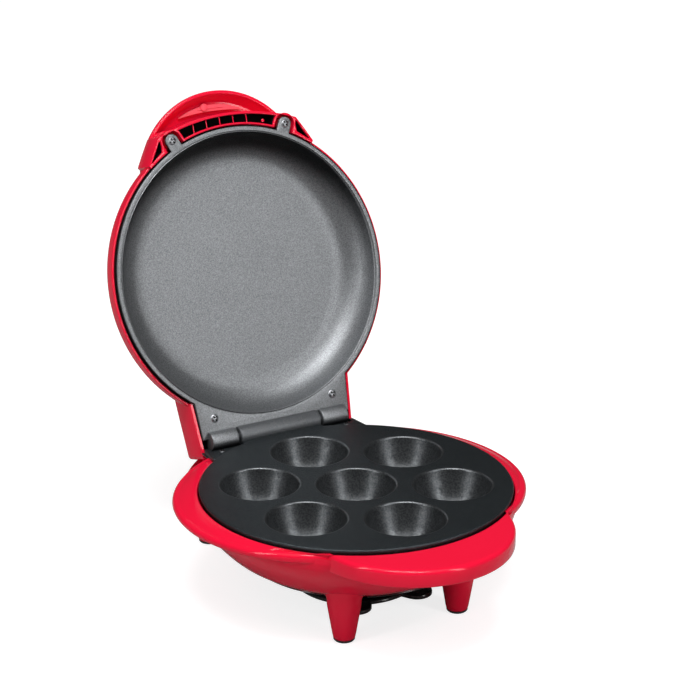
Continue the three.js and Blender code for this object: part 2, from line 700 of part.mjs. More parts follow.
// The lid is drawn closed and then turned back about the hinge to its open stop.
function lidGroup() {
  const lid = new THREE.Group();
  lid.add(mesh("lid_shell", lidShell(), RED));
  lid.add(mesh("upper_plate", upperPlate(), GREY_COATING));
  lid.add(mesh("handle_liner", handleLiner(), GRIP_RED));
  lid.add(...lidFasteners());
  lid.add(element("upper_heating_element", UPPER_ELEMENT));
  lid.add(mesh("upper_heat_shield", rod(60, 107, 107.8, 40), SHEET));
  lid.add(mesh("power_light_lens", moved(lens(), -LIGHTS.x, LIGHTS.y), RED_LENS));
  lid.add(mesh("ready_light_lens", moved(lens(), LIGHTS.x, LIGHTS.y), GREEN_LENS));
  lid.add(mesh("lamp_holder", lampHolder(), BLACK_PLASTIC));

  const pivot = new THREE.Group();
  pivot.position.set(0, HINGE.y, HINGE.z);
  pivot.rotation.x = -OPEN_ANGLE;
  lid.position.set(0, -HINGE.y, -HINGE.z);
  pivot.add(lid);
  return pivot;
}

const maker = new THREE.Group();
maker.add(baseGroup(), lidGroup());
maker.updateMatrixWorld(true);

// The origin is the middle of the footprint, on the surface that the feet stand on.
const footprint = new THREE.Box3().setFromObject(maker, true).getCenter(new THREE.Vector3());
maker.position.set(-footprint.x, -footprint.y, 0);

const group = new THREE.Group();
group.add(maker);
export default group;
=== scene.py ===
"""Looks of a small cake and donut-hole maker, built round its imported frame.

Plans are drawn in millimetres about the middle of the cooking plate, with the lid closed, and are
then carried to the frame's own place, in metres.
"""

import json
import logging
import math
from dataclasses import dataclass, field
from enum import Enum
from typing import Callable, Iterable, Sequence

import bmesh
import bpy
from mathutils import Matrix, Vector
from mathutils.geometry import tessellate_polygon


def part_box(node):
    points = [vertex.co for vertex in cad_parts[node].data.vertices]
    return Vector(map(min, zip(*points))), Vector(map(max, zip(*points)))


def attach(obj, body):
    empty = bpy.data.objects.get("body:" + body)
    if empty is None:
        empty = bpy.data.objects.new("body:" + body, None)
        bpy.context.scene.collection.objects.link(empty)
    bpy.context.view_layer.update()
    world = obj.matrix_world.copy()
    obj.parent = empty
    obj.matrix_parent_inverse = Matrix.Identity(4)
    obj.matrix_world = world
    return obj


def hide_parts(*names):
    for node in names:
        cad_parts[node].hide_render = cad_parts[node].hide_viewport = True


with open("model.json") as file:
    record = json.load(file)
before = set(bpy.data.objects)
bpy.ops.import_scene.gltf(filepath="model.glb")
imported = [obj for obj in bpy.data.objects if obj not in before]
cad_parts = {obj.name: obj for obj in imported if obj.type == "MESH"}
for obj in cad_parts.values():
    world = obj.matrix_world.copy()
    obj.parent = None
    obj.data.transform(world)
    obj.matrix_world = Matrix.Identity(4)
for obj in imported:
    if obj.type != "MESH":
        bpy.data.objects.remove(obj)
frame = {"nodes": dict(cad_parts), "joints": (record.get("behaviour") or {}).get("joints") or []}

LOG = logging.getLogger("cake_maker")
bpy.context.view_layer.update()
MM = 0.001
FRONT_LEG = (41.7, -57.4)
BARREL_RADIUS = 6.5
NECK_WALL = 2.2
LEG_TOP = 25.0
LEG_RADIUS = 10.9
SEAT_CORNER = 118.9

Point2 = tuple[float, float]
Point3 = tuple[float, float, float]
Face = tuple[int, ...]


class BodyName(Enum):
    """The two rigid bodies of the appliance."""

    BASE = "base"
    LID = "lid"


class Side(Enum):
    """Left and right, as signs along X."""

    LEFT = -1
    RIGHT = 1


# ------------------------------------------------------------------ places


@dataclass(frozen=True)
class Place:
    """Carries plan coordinates, in millimetres, to the frame, in metres.

    Attributes:
        shift_y: how far the plate's middle lies from the frame's origin, along Y, in millimetres.
        hinge: the hinge axis in plan coordinates, as (y, z).
        open_angle: how far the lid stands open at rest, in radians.
    """

    shift_y: float
    hinge: Point2
    open_angle: float

    @classmethod
    def from_frame(cls) -> "Place":
        """Reads the plate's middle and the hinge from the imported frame.

        Returns:
            The place of this model.
        """
        plate_low, plate_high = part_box("lower_plate")
        shift = plate_low.y / MM + plate_high.x / MM
        joint = next(j for j in frame["joints"] if j["name"] == "lid_hinge")
        _, y, z = joint["pos_m"]
        turn = math.radians(joint["range_deg"][1])
        return cls(shift, (y / MM - shift, z / MM), turn)

    def matrix(self, body: BodyName) -> Matrix:
        """Gives the transform from plan millimetres to the frame's metres.

        Args:
            body: the body that the piece rides on.

        Returns:
            A matrix that places drawn points in the frame.
        """
        to_frame = Matrix.Scale(MM, 4) @ Matrix.Translation((0, self.shift_y, 0))
        if body is BodyName.BASE:
            return to_frame
        y, z = self.hinge
        about = Matrix.Translation((0, y, z))
        turn = Matrix.Rotation(-self.open_angle, 4, "X")
        return to_frame @ about @ turn @ about.inverted()


PLACE = Place.from_frame()


# ------------------------------------------------------------------ plan curves


def arc(centre: Point2, radius: float, start: float, end: float, steps: int = 24) -> list[Point2]:
    """Points along a circular arc.

    Args:
        centre: the circle's centre.
        radius: the circle's radius.
        start: the first angle, in degrees.
        end: the last angle, in degrees.
        steps: how many chords the arc has.

    Returns:
        The points from start to end.
    """
    out = []
    for i in range(steps + 1):
        a = math.radians(start + (end - start) * i / steps)
        out.append((centre[0] + radius * math.cos(a), centre[1] + radius * math.sin(a)))
    return out


def angle_of(point: Point2, centre: Point2 = (0.0, 0.0)) -> float:
    """The direction of a point from a centre, in degrees."""
    return math.degrees(math.atan2(point[1] - centre[1], point[0] - centre[0]))


def polar(radius: float, degrees: float) -> Point2:
    """A point at a radius and a direction."""
    a = math.radians(degrees)
    return radius * math.cos(a), radius * math.sin(a)


def turned_by(points: Iterable[Point2], degrees: float) -> list[Point2]:
    """Points turned about the origin.

    Args:
        points: the points to turn.
        degrees: the angle, anticlockwise.

    Returns:
        The turned points.
    """
    c, s = math.cos(math.radians(degrees)), math.sin(math.radians(degrees))
    return [(x * c - y * s, x * s + y * c) for x, y in points]


def mirror_x(points: Iterable[Point2]) -> list[Point2]:
    """The same outline on the other side, still anticlockwise."""
    return [(-x, y) for x, y in points][::-1]


def signed_area(points: Sequence[Point2]) -> float:
    """Twice the signed area of a closed outline."""
    return sum(a[0] * b[1] - b[0] * a[1] for a, b in zip(points, [*points[1:], points[0]]))


def smooth_line(points: Sequence[Point2], steps: int = 6) -> list[Point2]:
    """A smooth curve through points.

    Args:
        points: the points to pass through.
        steps: how many chords each span has.

    Returns:
        Points on a Catmull-Rom curve.
    """
    padded = [points[0], *points, points[-1]]
    out = [points[0]]
    for p0, p1, p2, p3 in zip(padded, padded[1:], padded[2:], padded[3:]):
        for i in range(1, steps + 1):
            t = i / steps
            out.append(tuple(
                0.5 * (2 * b + (c - a) * t + (2 * a - 5 * b + 4 * c - d) * t * t
                       + (3 * b - a - 3 * c + d) * t ** 3)
                for a, b, c, d in zip(p0, p1, p2, p3)
            ))
    return out


def filleted(corners: Sequence[tuple[float, float, float]], steps: int = 5) -> list[Point2]:
    """An open line with rounded corners.

    Args:
        corners: (x, y, radius) for each corner; the two ends' radii are not used.
        steps: how many chords each rounding has.

    Returns:
        The points of the rounded line.
    """
    out = [corners[0][:2]]
    for before, here, after in zip(corners, corners[1:], corners[2:]):
        corner, radius = Vector(here[:2]), here[2]
        to_before = Vector(before[:2]) - corner
        to_after = Vector(after[:2]) - corner
        if radius <= 0 or to_before.length < 1e-6 or to_after.length < 1e-6:
            out.append(tuple(corner))
            continue
        half = to_before.angle(to_after) / 2
        reach = min(radius / math.tan(half), to_before.length * 0.49, to_after.length * 0.49)
        start = corner + to_before.normalized() * reach
        end = corner + to_after.normalized() * reach
        for i in range(steps + 1):
            t = i / steps
            out.append(tuple(start * (1 - t) ** 2 + corner * 2 * t * (1 - t) + end * t * t))
    out.append(corners[-1][:2])
    return out


def star_outline(circle: float, shapes: Sequence[Sequence[Point2]], step: float = 1.5) -> list[Point2]:
    """The outline of a circle joined with convex shapes that reach its centre.

    Args:
        circle: the circle's radius.
        shapes: closed outlines that hold the origin.
        step: the spacing of the points round the circle, in degrees.

    Returns:
        The joined outline, anticlockwise.
    """
    angles = {round(i * step, 6) for i in range(int(360 / step))}
    for shape in shapes:
        for a, b in zip(shape, [*shape[1:], shape[0]]):
            angles.add(round(angle_of(a) % 360, 6))
            d = (b[0] - a[0], b[1] - a[1])
            qa, qb = d[0] ** 2 + d[1] ** 2, 2 * (a[0] * d[0] + a[1] * d[1])
            root = qb * qb - 4 * qa * (a[0] ** 2 + a[1] ** 2 - circle ** 2)
            for sign in (-1, 1):
                t = (-qb + sign * math.sqrt(root)) / (2 * qa) if root > 0 and qa > 0 else -1
                if 0 <= t <= 1:
                    angles.add(round(angle_of((a[0] + t * d[0], a[1] + t * d[1])) % 360, 6))
    out = []
    for degrees in sorted(angles):
        ux, uy = polar(1, degrees)
        reach = circle
        for shape in shapes:
            for a, b in zip(shape, [*shape[1:], shape[0]]):
                ex, ey = b[0] - a[0], b[1] - a[1]
                cross = ux * ey - uy * ex
                if abs(cross) < 1e-9:
                    continue
                r = (a[0] * ey - a[1] * ex) / cross
                t = (a[0] * uy - a[1] * ux) / cross
                if r > 0 and -1e-6 <= t <= 1 + 1e-6:
                    reach = max(reach, r)
        point = (reach * ux, reach * uy)
        if not out or math.dist(out[-1], point) > 0.05:
            out.append(point)
    return out


def inset_loop(points: Sequence[Point2], distance: float) -> list[Point2]:
    """A closed outline moved inwards along its corner bisectors.

    Args:
        points: an anticlockwise outline.
        distance: how far inwards, in millimetres.

    Returns:
        The moved outline, point for point.
    """
    out = []
    count = len(points)
    for i, here in enumerate(points):
        before, after = Vector(points[i - 1]), Vector(points[(i + 1) % count])
        a = (Vector(here) - before).normalized()
        b = (after - Vector(here)).normalized()
        na, nb = Vector((-a.y, a.x)), Vector((-b.y, b.x))
        middle = na + nb
        if middle.length < 1e-6:
            middle = na
        middle.normalize()
        stretch = min(1 / max(middle.dot(na), 0.3), 1.6)
        out.append(tuple(Vector(here) + middle * distance * stretch))
    return out


# ------------------------------------------------------------------ meshes


@dataclass
class Shape:
    """Points and faces of a mesh, in plan millimetres."""

    points: list[Point3] = field(default_factory=list)
    faces: list[Face] = field(default_factory=list)

    def add(self, other: "Shape") -> "Shape":
        """Takes in another shape, without joining their points.

        Args:
            other: the shape to take in.

        Returns:
            This shape.
        """
        first = len(self.points)
        self.points.extend(other.points)
        self.faces.extend(tuple(i + first for i in f) for f in other.faces)
        return self

    def moved(self, x: float, y: float, z: float = 0.0) -> "Shape":
        """The shape at another place."""
        return Shape([(a + x, b + y, c + z) for a, b, c in self.points], list(self.faces))

    def turned(self, degrees: float, axis: str = "Z") -> "Shape":
        """The shape turned about an axis through the origin."""
        turn = Matrix.Rotation(math.radians(degrees), 3, axis)
        return Shape([tuple(turn @ Vector(p)) for p in self.points], list(self.faces))

    def mirrored(self) -> "Shape":
        """The shape on the other side of the middle plane, facing outwards."""
        return Shape([(-a, b, c) for a, b, c in self.points], [f[::-1] for f in self.faces])

    def both_sides(self) -> "Shape":
        """The shape together with its mirror image."""
        return Shape(list(self.points), list(self.faces)).add(self.mirrored())


def loft(rings: Sequence[Sequence[Point3]], closed: bool = True) -> Shape:
    """A skin over rings of points.

    Args:
        rings: rings of equally many points; a ring of one point is a pole.
        closed: whether each ring closes on itself.

    Returns:
        The skin.
    """
    shape = Shape()
    starts = []
    for ring in rings:
        starts.append(len(shape.points))
        shape.points.extend(ring)
    for (ra, sa), (rb, sb) in zip(zip(rings, starts), zip(rings[1:], starts[1:])):
        count = max(len(ra), len(rb))
        for i in range(count if closed else count - 1):
            j = (i + 1) % count
            a0, a1 = (sa, sa) if len(ra) == 1 else (sa + i, sa + j)
            b0, b1 = (sb, sb) if len(rb) == 1 else (sb + i, sb + j)
            shape.faces.append(tuple(dict.fromkeys((a0, a1, b1, b0))))
    return shape


def lathe(profile: Sequence[Point2], segments: int = 192) -> Shape:
    """A profile of (radius, height) turned about the vertical axis.

    Args:
        profile: the profile, from the top of the outside to the bottom, or any open line.
        segments: how many facets there are round the axis.

    Returns:
        The turned skin.
    """
    rings = []
    for radius, height in profile:
        if radius < 1e-6:
            rings.append([(0.0, 0.0, height)])
            continue
        rings.append([(*polar(radius, 360 * i / segments), height) for i in range(segments)])
    return loft(rings)


def prism(
    outline: Sequence[Point2],
    low: float,
    high: float,
    bevel: float = 0.4,
    holes: Sequence[Sequence[Point2]] = (),
    roof: Callable[[float, float], float] | None = None,
    steps: int = 3,
) -> Shape:
    """A plan raised to a block with rounded edges.

    Args:
        outline: the outside of the plan.
        low: the height of its lower face.
        high: the height of its upper face.
        bevel: the radius of its edges.
        holes: plans of the openings through it.
        roof: how much each point of the upper face is lifted, if it isn't level.
        steps: how many chords each rounding has.

    Returns:
        The closed block.
    """
    shape = Shape()
    caps: dict[str, list[list[int]]] = {"low": [], "high": []}
    for index, loop in enumerate([outline, *holes]):
        anticlockwise = list(loop) if signed_area(loop) > 0 else list(loop)[::-1]
        inwards = 1 if index == 0 else -1
        levels = []
        for i in range(steps + 1):
            a = math.pi / 2 * i / steps
            levels.append((bevel * (1 - math.sin(a)), low + bevel * (1 - math.cos(a))))
        for i in range(steps + 1):
            a = math.pi / 2 * (1 - i / steps)
            levels.append((bevel * (1 - math.sin(a)), high - bevel * (1 - math.cos(a))))
        rings = []
        middle = (low + high) / 2
        for inset, z in levels:
            ring = inset_loop(anticlockwise, inwards * inset)
            lift = roof if roof and z > middle else (lambda x, y: 0.0)
            rings.append([(x, y, z + lift(x, y)) for x, y in ring])
        skin = loft(rings)
        if index:
            skin.faces = [f[::-1] for f in skin.faces]
        first, count = len(shape.points), len(anticlockwise)
        shape.add(skin)
        caps["low"].append([first + i for i in range(count)])
        caps["high"].append([first + count * (len(rings) - 1) + i for i in range(count)])
    for name, loops in caps.items():
        flat = [i for loop in loops for i in loop]
        plan = [[Vector((shape.points[i][0], shape.points[i][1], 0)) for i in loop] for loop in loops]
        for tri in tessellate_polygon(plan):
            ids = [flat[i] for i in tri]
            corners = [shape.points[i][:2] for i in ids]
            upwards = signed_area(corners) > 0
            if upwards != (name == "high"):
                ids.reverse()
            shape.faces.append(tuple(ids))
    return shape


def barrel(radius: float, start: float, end: float, edge: float = 0.9, segments: int = 64) -> Shape:
    """A round bar along X with softened ends.

    Args:
        radius: the bar's radius.
        start: where it begins along X.
        end: where it ends along X.
        edge: the radius of its end edges.
        segments: how many facets there are round it.

    Returns:
        The bar, about the X axis.
    """
    profile = filleted([(0, start, 0), (radius, start, edge), (radius, end, edge), (0, end, 0)], 4)
    return lathe(profile, segments).turned(90, "Y")


def make_piece(
    name: str, shape: Shape, body: BodyName, finish: "Finish", sharp: float = 38.0,
) -> bpy.types.Object:
    """Makes an object from a shape, at its place in the frame, riding on its body.

    Args:
        name: the piece's name.
        shape: its points and faces.
        body: the body it rides on.
        finish: the finish it is dressed in.
        sharp: the angle, in degrees, past which an edge is shown as an edge.

    Returns:
        The new object.
    """
    mesh = bpy.data.meshes.new(name)
    place = PLACE.matrix(body)
    mesh.from_pydata([tuple(place @ Vector(p)) for p in shape.points], [], shape.faces)
    work = bmesh.new()
    work.from_mesh(mesh)
    bmesh.ops.remove_doubles(work, verts=work.verts, dist=2e-7)
    bmesh.ops.recalc_face_normals(work, faces=work.faces)
    work.to_mesh(mesh)
    work.free()
    mesh.shade_smooth()
    mesh.set_sharp_from_angle(angle=math.radians(sharp))
    piece = bpy.data.objects.new(name, mesh)
    bpy.context.scene.collection.objects.link(piece)
    mesh.materials.append(finish.material())
    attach(piece, body.value)
    LOG.info("%s: %d faces", name, len(mesh.polygons))
    return piece


# ------------------------------------------------------------------ shared effects


class Nodes:
    """Small helper that adds and links nodes in one tree."""

    def __init__(self, tree: bpy.types.NodeTree) -> None:
        """Keeps the tree.

        Args:
            tree: the node tree to work in.
        """
        self.tree = tree

    def add(self, kind: str, **values: object) -> bpy.types.Node:
        """Adds a node and sets its properties or inputs.

        Args:
            kind: the node's type name.
            values: properties by name, or inputs by name with spaces as underscores.

        Returns:
            The node.
        """
        node = self.tree.nodes.new(kind)
        for key, value in values.items():
            if hasattr(node, key):
                setattr(node, key, value)
            else:
                node.inputs[key.replace("_", " ")].default_value = value
        return node

    def link(
        self, source: bpy.types.Node, output: str | int, target: bpy.types.Node, entry: str | int,
    ) -> None:
        """Links a node's output to another node's input, each by name or by index."""
        self.tree.links.new(source.outputs[output], target.inputs[entry])


def group_tree(
    name: str, inputs: Sequence[tuple[str, str, object]], outputs: Sequence[tuple[str, str]],
) -> bpy.types.NodeTree:
    """An empty shader group with its sockets.

    Args:
        name: the group's name.
        inputs: (name, socket type, default) of each input.
        outputs: (name, socket type) of each output.

    Returns:
        The group's tree.
    """
    tree = bpy.data.node_groups.new(name, "ShaderNodeTree")
    for label, kind, default in inputs:
        socket = tree.interface.new_socket(label, in_out="INPUT", socket_type=kind)
        socket.default_value = default
    for label, kind in outputs:
        tree.interface.new_socket(label, in_out="OUTPUT", socket_type=kind)
    return tree


def grain_group() -> bpy.types.NodeTree:
    """Fine and coarse grain as two masks and a height, for coatings and moulded surfaces.

    Returns:
        The group, made once.
    """
    found = bpy.data.node_groups.get("surface_grain")
    if found:
        return found
    tree = group_tree(
        "surface_grain",
        [("Scale", "NodeSocketFloat", 1500.0), ("Contrast", "NodeSocketFloat", 0.5)],
        [("Mask", "NodeSocketFloat"), ("Speckle", "NodeSocketFloat"), ("Height", "NodeSocketFloat")],
    )
    n = Nodes(tree)
    start, end = n.add("NodeGroupInput"), n.add("NodeGroupOutput")
    place = n.add("ShaderNodeTexCoord")
    noise = n.add("ShaderNodeTexNoise", Detail=3.0, Roughness=0.65)
    cells = n.add("ShaderNodeTexVoronoi", feature="F1")
    n.link(place, "Object", noise, "Vector")
    n.link(place, "Object", cells, "Vector")
    n.link(start, "Scale", noise, "Scale")
    n.link(start, "Scale", cells, "Scale")
    centred = n.add("ShaderNodeMath", operation="SUBTRACT")
    centred.inputs[1].default_value = 0.5
    n.link(noise, "Fac", centred, 0)
    spread = n.add("ShaderNodeMath", operation="MULTIPLY_ADD")
    spread.use_clamp = True
    spread.inputs[2].default_value = 0.5
    n.link(centred, 0, spread, 0)
    wide = n.add("ShaderNodeMath", operation="MULTIPLY")
    wide.inputs[1].default_value = 6.0
    n.link(start, "Contrast", wide, 0)
    n.link(wide, 0, spread, 1)
    dots = n.add("ShaderNodeMapRange")
    dots.inputs["From Min"].default_value = 0.34
    dots.inputs["From Max"].default_value = 0.12
    n.link(cells, "Distance", dots, "Value")
    both = n.add("ShaderNodeMath", operation="ADD")
    n.link(spread, 0, both, 0)
    n.link(dots, "Result", both, 1)
    n.link(spread, 0, end, "Mask")
    n.link(dots, "Result", end, "Speckle")
    n.link(both, 0, end, "Height")
    return tree


def drift_group() -> bpy.types.NodeTree:
    """Slow drift between two colours, with a mask for handling marks.

    Returns:
        The group, made once.
    """
    found = bpy.data.node_groups.get("colour_drift")
    if found:
        return found
    tree = group_tree(
        "colour_drift",
        [
            ("Main", "NodeSocketColor", (0.5, 0.5, 0.5, 1)),
            ("Other", "NodeSocketColor", (0.4, 0.4, 0.4, 1)),
            ("Scale", "NodeSocketFloat", 14.0),
        ],
        [("Color", "NodeSocketColor"), ("Marks", "NodeSocketFloat")],
    )
    n = Nodes(tree)
    start, end = n.add("NodeGroupInput"), n.add("NodeGroupOutput")
    place = n.add("ShaderNodeTexCoord")
    slow = n.add("ShaderNodeTexNoise", Detail=2.0, Roughness=0.5)
    n.link(place, "Object", slow, "Vector")
    n.link(start, "Scale", slow, "Scale")
    mix = n.add("ShaderNodeMix", data_type="RGBA")
    n.link(slow, "Fac", mix, "Factor")
    n.link(start, "Main", mix, 6)
    n.link(start, "Other", mix, 7)
    marks = n.add("ShaderNodeTexNoise", Detail=6.0, Roughness=0.7, Scale=60.0)
    n.link(place, "Object", marks, "Vector")
    shaped = n.add("ShaderNodeMapRange")
    shaped.inputs["From Min"].default_value = 0.45
    shaped.inputs["From Max"].default_value = 0.75
    n.link(marks, "Fac", shaped, "Value")
    n.link(mix, 2, end, "Color")
    n.link(shaped, "Result", end, "Marks")
    return tree


# ------------------------------------------------------------------ finishes


@dataclass(frozen=True)
class Finish:
    """What a surface is made of and how it looks.

    Attributes:
        label: the material's name.
        slot: the record's material slot; not used.
        color: its main colour, linear.
        other: the colour it drifts to, linear.
        speck: the colour of its speckles, linear.
        speckled: how strongly the speckles show.
        roughness: its smoothest roughness.
        rough_spread: how much rougher it gets with grain and marks.
        metallic: how metallic it is.
        specular: its specular level.
        grain_scale: the grain's frequency, per metre.
        grain_contrast: how hard the grain's edges are.
        bump: the grain's strength as relief.
        bump_depth: the grain's depth, in metres.
        coat: the weight of its clear coat.
        coat_roughness: the roughness of its clear coat.
        underside: how much of its colour is left on surfaces that look down, as painted shade.
    """

    label: str
    slot: str
    color: Point3
    other: Point3
    speck: Point3 = (0.5, 0.5, 0.5)
    speckled: float = 0.0
    roughness: float = 0.3
    rough_spread: float = 0.1
    metallic: float = 0.0
    specular: float = 0.5
    grain_scale: float = 1500.0
    grain_contrast: float = 0.4
    bump: float = 0.1
    bump_depth: float = 0.0001
    coat: float = 0.0
    coat_roughness: float = 0.05
    underside: float = 1.0

    def material(self) -> bpy.types.Material:
        """Builds the material once and gives it back after that.

        Returns:
            The finish's material.
        """
        found = bpy.data.materials.get(self.label)
        if found:
            return found
        made = bpy.data.materials.new(self.label)
        made.use_nodes = True
        made.node_tree.nodes.clear()
        n = Nodes(made.node_tree)
        out = n.add("ShaderNodeOutputMaterial")
        shader = n.add("ShaderNodeBsdfPrincipled")
        n.link(shader, "BSDF", out, "Surface")
        shader.inputs["Metallic"].default_value = self.metallic
        shader.inputs["Specular IOR Level"].default_value = self.specular
        shader.inputs["Coat Weight"].default_value = self.coat
        shader.inputs["Coat Roughness"].default_value = self.coat_roughness
        self._dress(n, shader)
        return made

    def _dress(self, n: Nodes, shader: bpy.types.Node) -> None:
        """Feeds colour, roughness and relief to the shader.

        Args:
            n: the material's nodes.
            shader: the Principled shader.
        """
        drift = n.add("ShaderNodeGroup", node_tree=drift_group())
        drift.inputs["Main"].default_value = (*self.color, 1)
        drift.inputs["Other"].default_value = (*self.other, 1)
        grain = n.add("ShaderNodeGroup", node_tree=grain_group())
        grain.inputs["Scale"].default_value = self.grain_scale
        grain.inputs["Contrast"].default_value = self.grain_contrast
        amount = n.add("ShaderNodeMath", operation="MULTIPLY")
        amount.inputs[1].default_value = self.speckled
        n.link(grain, "Mask", amount, 0)
        mix = n.add("ShaderNodeMix", data_type="RGBA")
        mix.inputs[7].default_value = (*self.speck, 1)
        n.link(amount, 0, mix, "Factor")
        n.link(drift, "Color", mix, 6)
        # Painted shade: surfaces that look down are darkened by their normal, as if in shadow.
        if self.underside < 1.0:
            facing = n.add("ShaderNodeTexCoord")
            split = n.add("ShaderNodeSeparateXYZ")
            shade = n.add("ShaderNodeMapRange", interpolation_type="SMOOTHSTEP")
            shade.inputs["From Min"].default_value = -0.50
            shade.inputs["From Max"].default_value = 0.22
            shade.inputs["To Min"].default_value = self.underside
            n.link(facing, "Normal", split, "Vector")
            n.link(split, "Z", shade, "Value")
            darker = n.add("ShaderNodeVectorMath", operation="SCALE")
            n.link(mix, 2, darker, 0)
            n.link(shade, "Result", darker, "Scale")
            n.link(darker, "Vector", shader, "Base Color")
        else:
            n.link(mix, 2, shader, "Base Color")
        rough = n.add("ShaderNodeMath", operation="MULTIPLY_ADD")
        rough.inputs[1].default_value = self.rough_spread
        rough.inputs[2].default_value = self.roughness
        n.link(drift, "Marks", rough, 0)
        n.link(rough, 0, shader, "Roughness")
        relief = n.add("ShaderNodeBump")
        relief.inputs["Strength"].default_value = self.bump
        relief.inputs["Distance"].default_value = self.bump_depth
        n.link(grain, "Height", relief, "Height")
        n.link(relief, "Normal", shader, "Normal")


RED = Finish(
    "gloss_red_moulding", "red_gloss", (0.76, 0.0075, 0.040), (0.72, 0.006, 0.032),
    roughness=0.10, rough_spread=0.04, specular=0.22, grain_scale=700.0, grain_contrast=0.2,
    bump=0.04, bump_depth=0.00005,
)
PANEL_RED = Finish(
    "satin_red_panel", "grip_red", (0.80, 0.075, 0.110), (0.74, 0.055, 0.085),
    roughness=0.34, rough_spread=0.1, specular=0.2, grain_scale=1500.0, bump=0.15, bump_depth=0.00008,
)
DARK_COATING = Finish(
    "dark_non_stick", "dark_coating", (0.026, 0.034, 0.038), (0.031, 0.039, 0.044),
    speck=(0.30, 0.31, 0.32), speckled=0.10, roughness=0.34, rough_spread=0.05, metallic=0.80,
    specular=0.42, grain_scale=1500.0, grain_contrast=0.8, bump=0.55, bump_depth=0.00018,
)
# Its underside setting paints shade on the dish's down-facing walls.
GREY_COATING = Finish(
    "grey_non_stick", "grey_coating", (0.135, 0.142, 0.150), (0.150, 0.157, 0.165),
    speck=(0.42, 0.43, 0.44), speckled=0.4, roughness=0.40, rough_spread=0.05, metallic=0.80,
    specular=0.4, grain_scale=1300.0, grain_contrast=0.7, bump=0.35, bump_depth=0.00012,
    underside=0.10,
)
# The plate's own coating, drawn lighter and with lighter speckles so the cup walls look brighter: painted
# sheen.
CUP_SHEEN_COATING = Finish(
    "cup_non_stick_painted_sheen", "dark_coating", (0.070, 0.076, 0.081), (0.078, 0.084, 0.089),
    speck=(0.50, 0.51, 0.52), speckled=0.16, roughness=0.33, rough_spread=0.03, metallic=0.90,
    specular=0.42, grain_scale=900.0, grain_contrast=0.8, bump=0.22, bump_depth=0.00012,
)
BARREL_GREY = Finish(
    "barrel_coating", "grey_coating", (0.060, 0.064, 0.069), (0.070, 0.074, 0.079),
    speck=(0.24, 0.25, 0.26), speckled=0.35, roughness=0.36, rough_spread=0.08, metallic=0.5,
    specular=0.45, grain_scale=1600.0, grain_contrast=0.6, bump=0.3, bump_depth=0.0001,
)
BLACK = Finish(
    "black_moulding", "black_plastic", (0.010, 0.0085, 0.0085), (0.013, 0.011, 0.011),
    roughness=0.18, rough_spread=0.12, grain_scale=900.0, bump=0.08, bump_depth=0.00006, coat=0.2,
)
# Flat black that stands in for the shadow inside recesses, pockets and seams: painted shade.
SHADE_BLACK = Finish(
    "painted_shade_black", "black_plastic", (0.004, 0.003, 0.003), (0.006, 0.004, 0.004),
    roughness=0.85, rough_spread=0.05, specular=0.1, grain_scale=900.0, bump=0.08,
)
RUBBER = Finish(
    "foot_pad_rubber", "foot_rubber", (0.018, 0.016, 0.016), (0.024, 0.022, 0.021),
    speck=(0.06, 0.058, 0.055), speckled=0.15, roughness=0.72, rough_spread=0.15,
    grain_scale=1800.0, bump=0.3, bump_depth=0.0001,
)
ZINC = Finish(
    "zinc_screw", "screw_zinc", (0.40, 0.41, 0.43), (0.30, 0.31, 0.33),
    speck=(0.30, 0.30, 0.31), speckled=0.1, roughness=0.38, rough_spread=0.12, metallic=1.0,
    grain_scale=2600.0, bump=0.02, bump_depth=0.00002,
)
DULL_ZINC = Finish(
    "dull_zinc_screw", "screw_zinc", (0.10, 0.105, 0.11), (0.08, 0.084, 0.09),
    speck=(0.2, 0.2, 0.21), speckled=0.1, roughness=0.42, rough_spread=0.12, metallic=0.9,
    grain_scale=2600.0, bump=0.1, bump_depth=0.00004,
)
STEEL = Finish(
    "drawn_steel", "pin_steel", (0.50, 0.51, 0.53), (0.42, 0.43, 0.45),
    speck=(0.2, 0.2, 0.2), speckled=0.15, roughness=0.28, rough_spread=0.15, metallic=1.0,
    grain_scale=2200.0, bump=0.1,
)
SHEATH = Finish(
    "heater_sheath", "heater_sheath", (0.075, 0.068, 0.062), (0.11, 0.085, 0.065),
    speck=(0.03, 0.028, 0.026), speckled=0.4, roughness=0.45, rough_spread=0.2, metallic=0.8,
    grain_scale=900.0, bump=0.2,
)
SHEET = Finish(
    "rolled_aluminium", "shield_sheet", (0.62, 0.63, 0.65), (0.55, 0.56, 0.58),
    speck=(0.4, 0.4, 0.41), speckled=0.2, roughness=0.28, rough_spread=0.15, metallic=1.0,
    grain_scale=1400.0, bump=0.1,
)
CERAMIC = Finish(
    "steatite", "ceramic", (0.76, 0.72, 0.62), (0.70, 0.66, 0.57),
    speck=(0.5, 0.46, 0.38), speckled=0.25, roughness=0.55, rough_spread=0.15,
    grain_scale=1200.0, bump=0.25,
)
RED_LENS = Finish(
    "red_lens", "red_lens", (0.60, 0.010, 0.012), (0.50, 0.008, 0.010),
    roughness=0.08, rough_spread=0.05, grain_scale=700.0, bump=0.03, coat=0.4,
)
GREEN_LENS = Finish(
    "green_lens", "green_lens", (0.012, 0.32, 0.06), (0.010, 0.26, 0.05),
    roughness=0.08, rough_spread=0.05, grain_scale=700.0, bump=0.03, coat=0.4,
)


# ------------------------------------------------------------------ fasteners


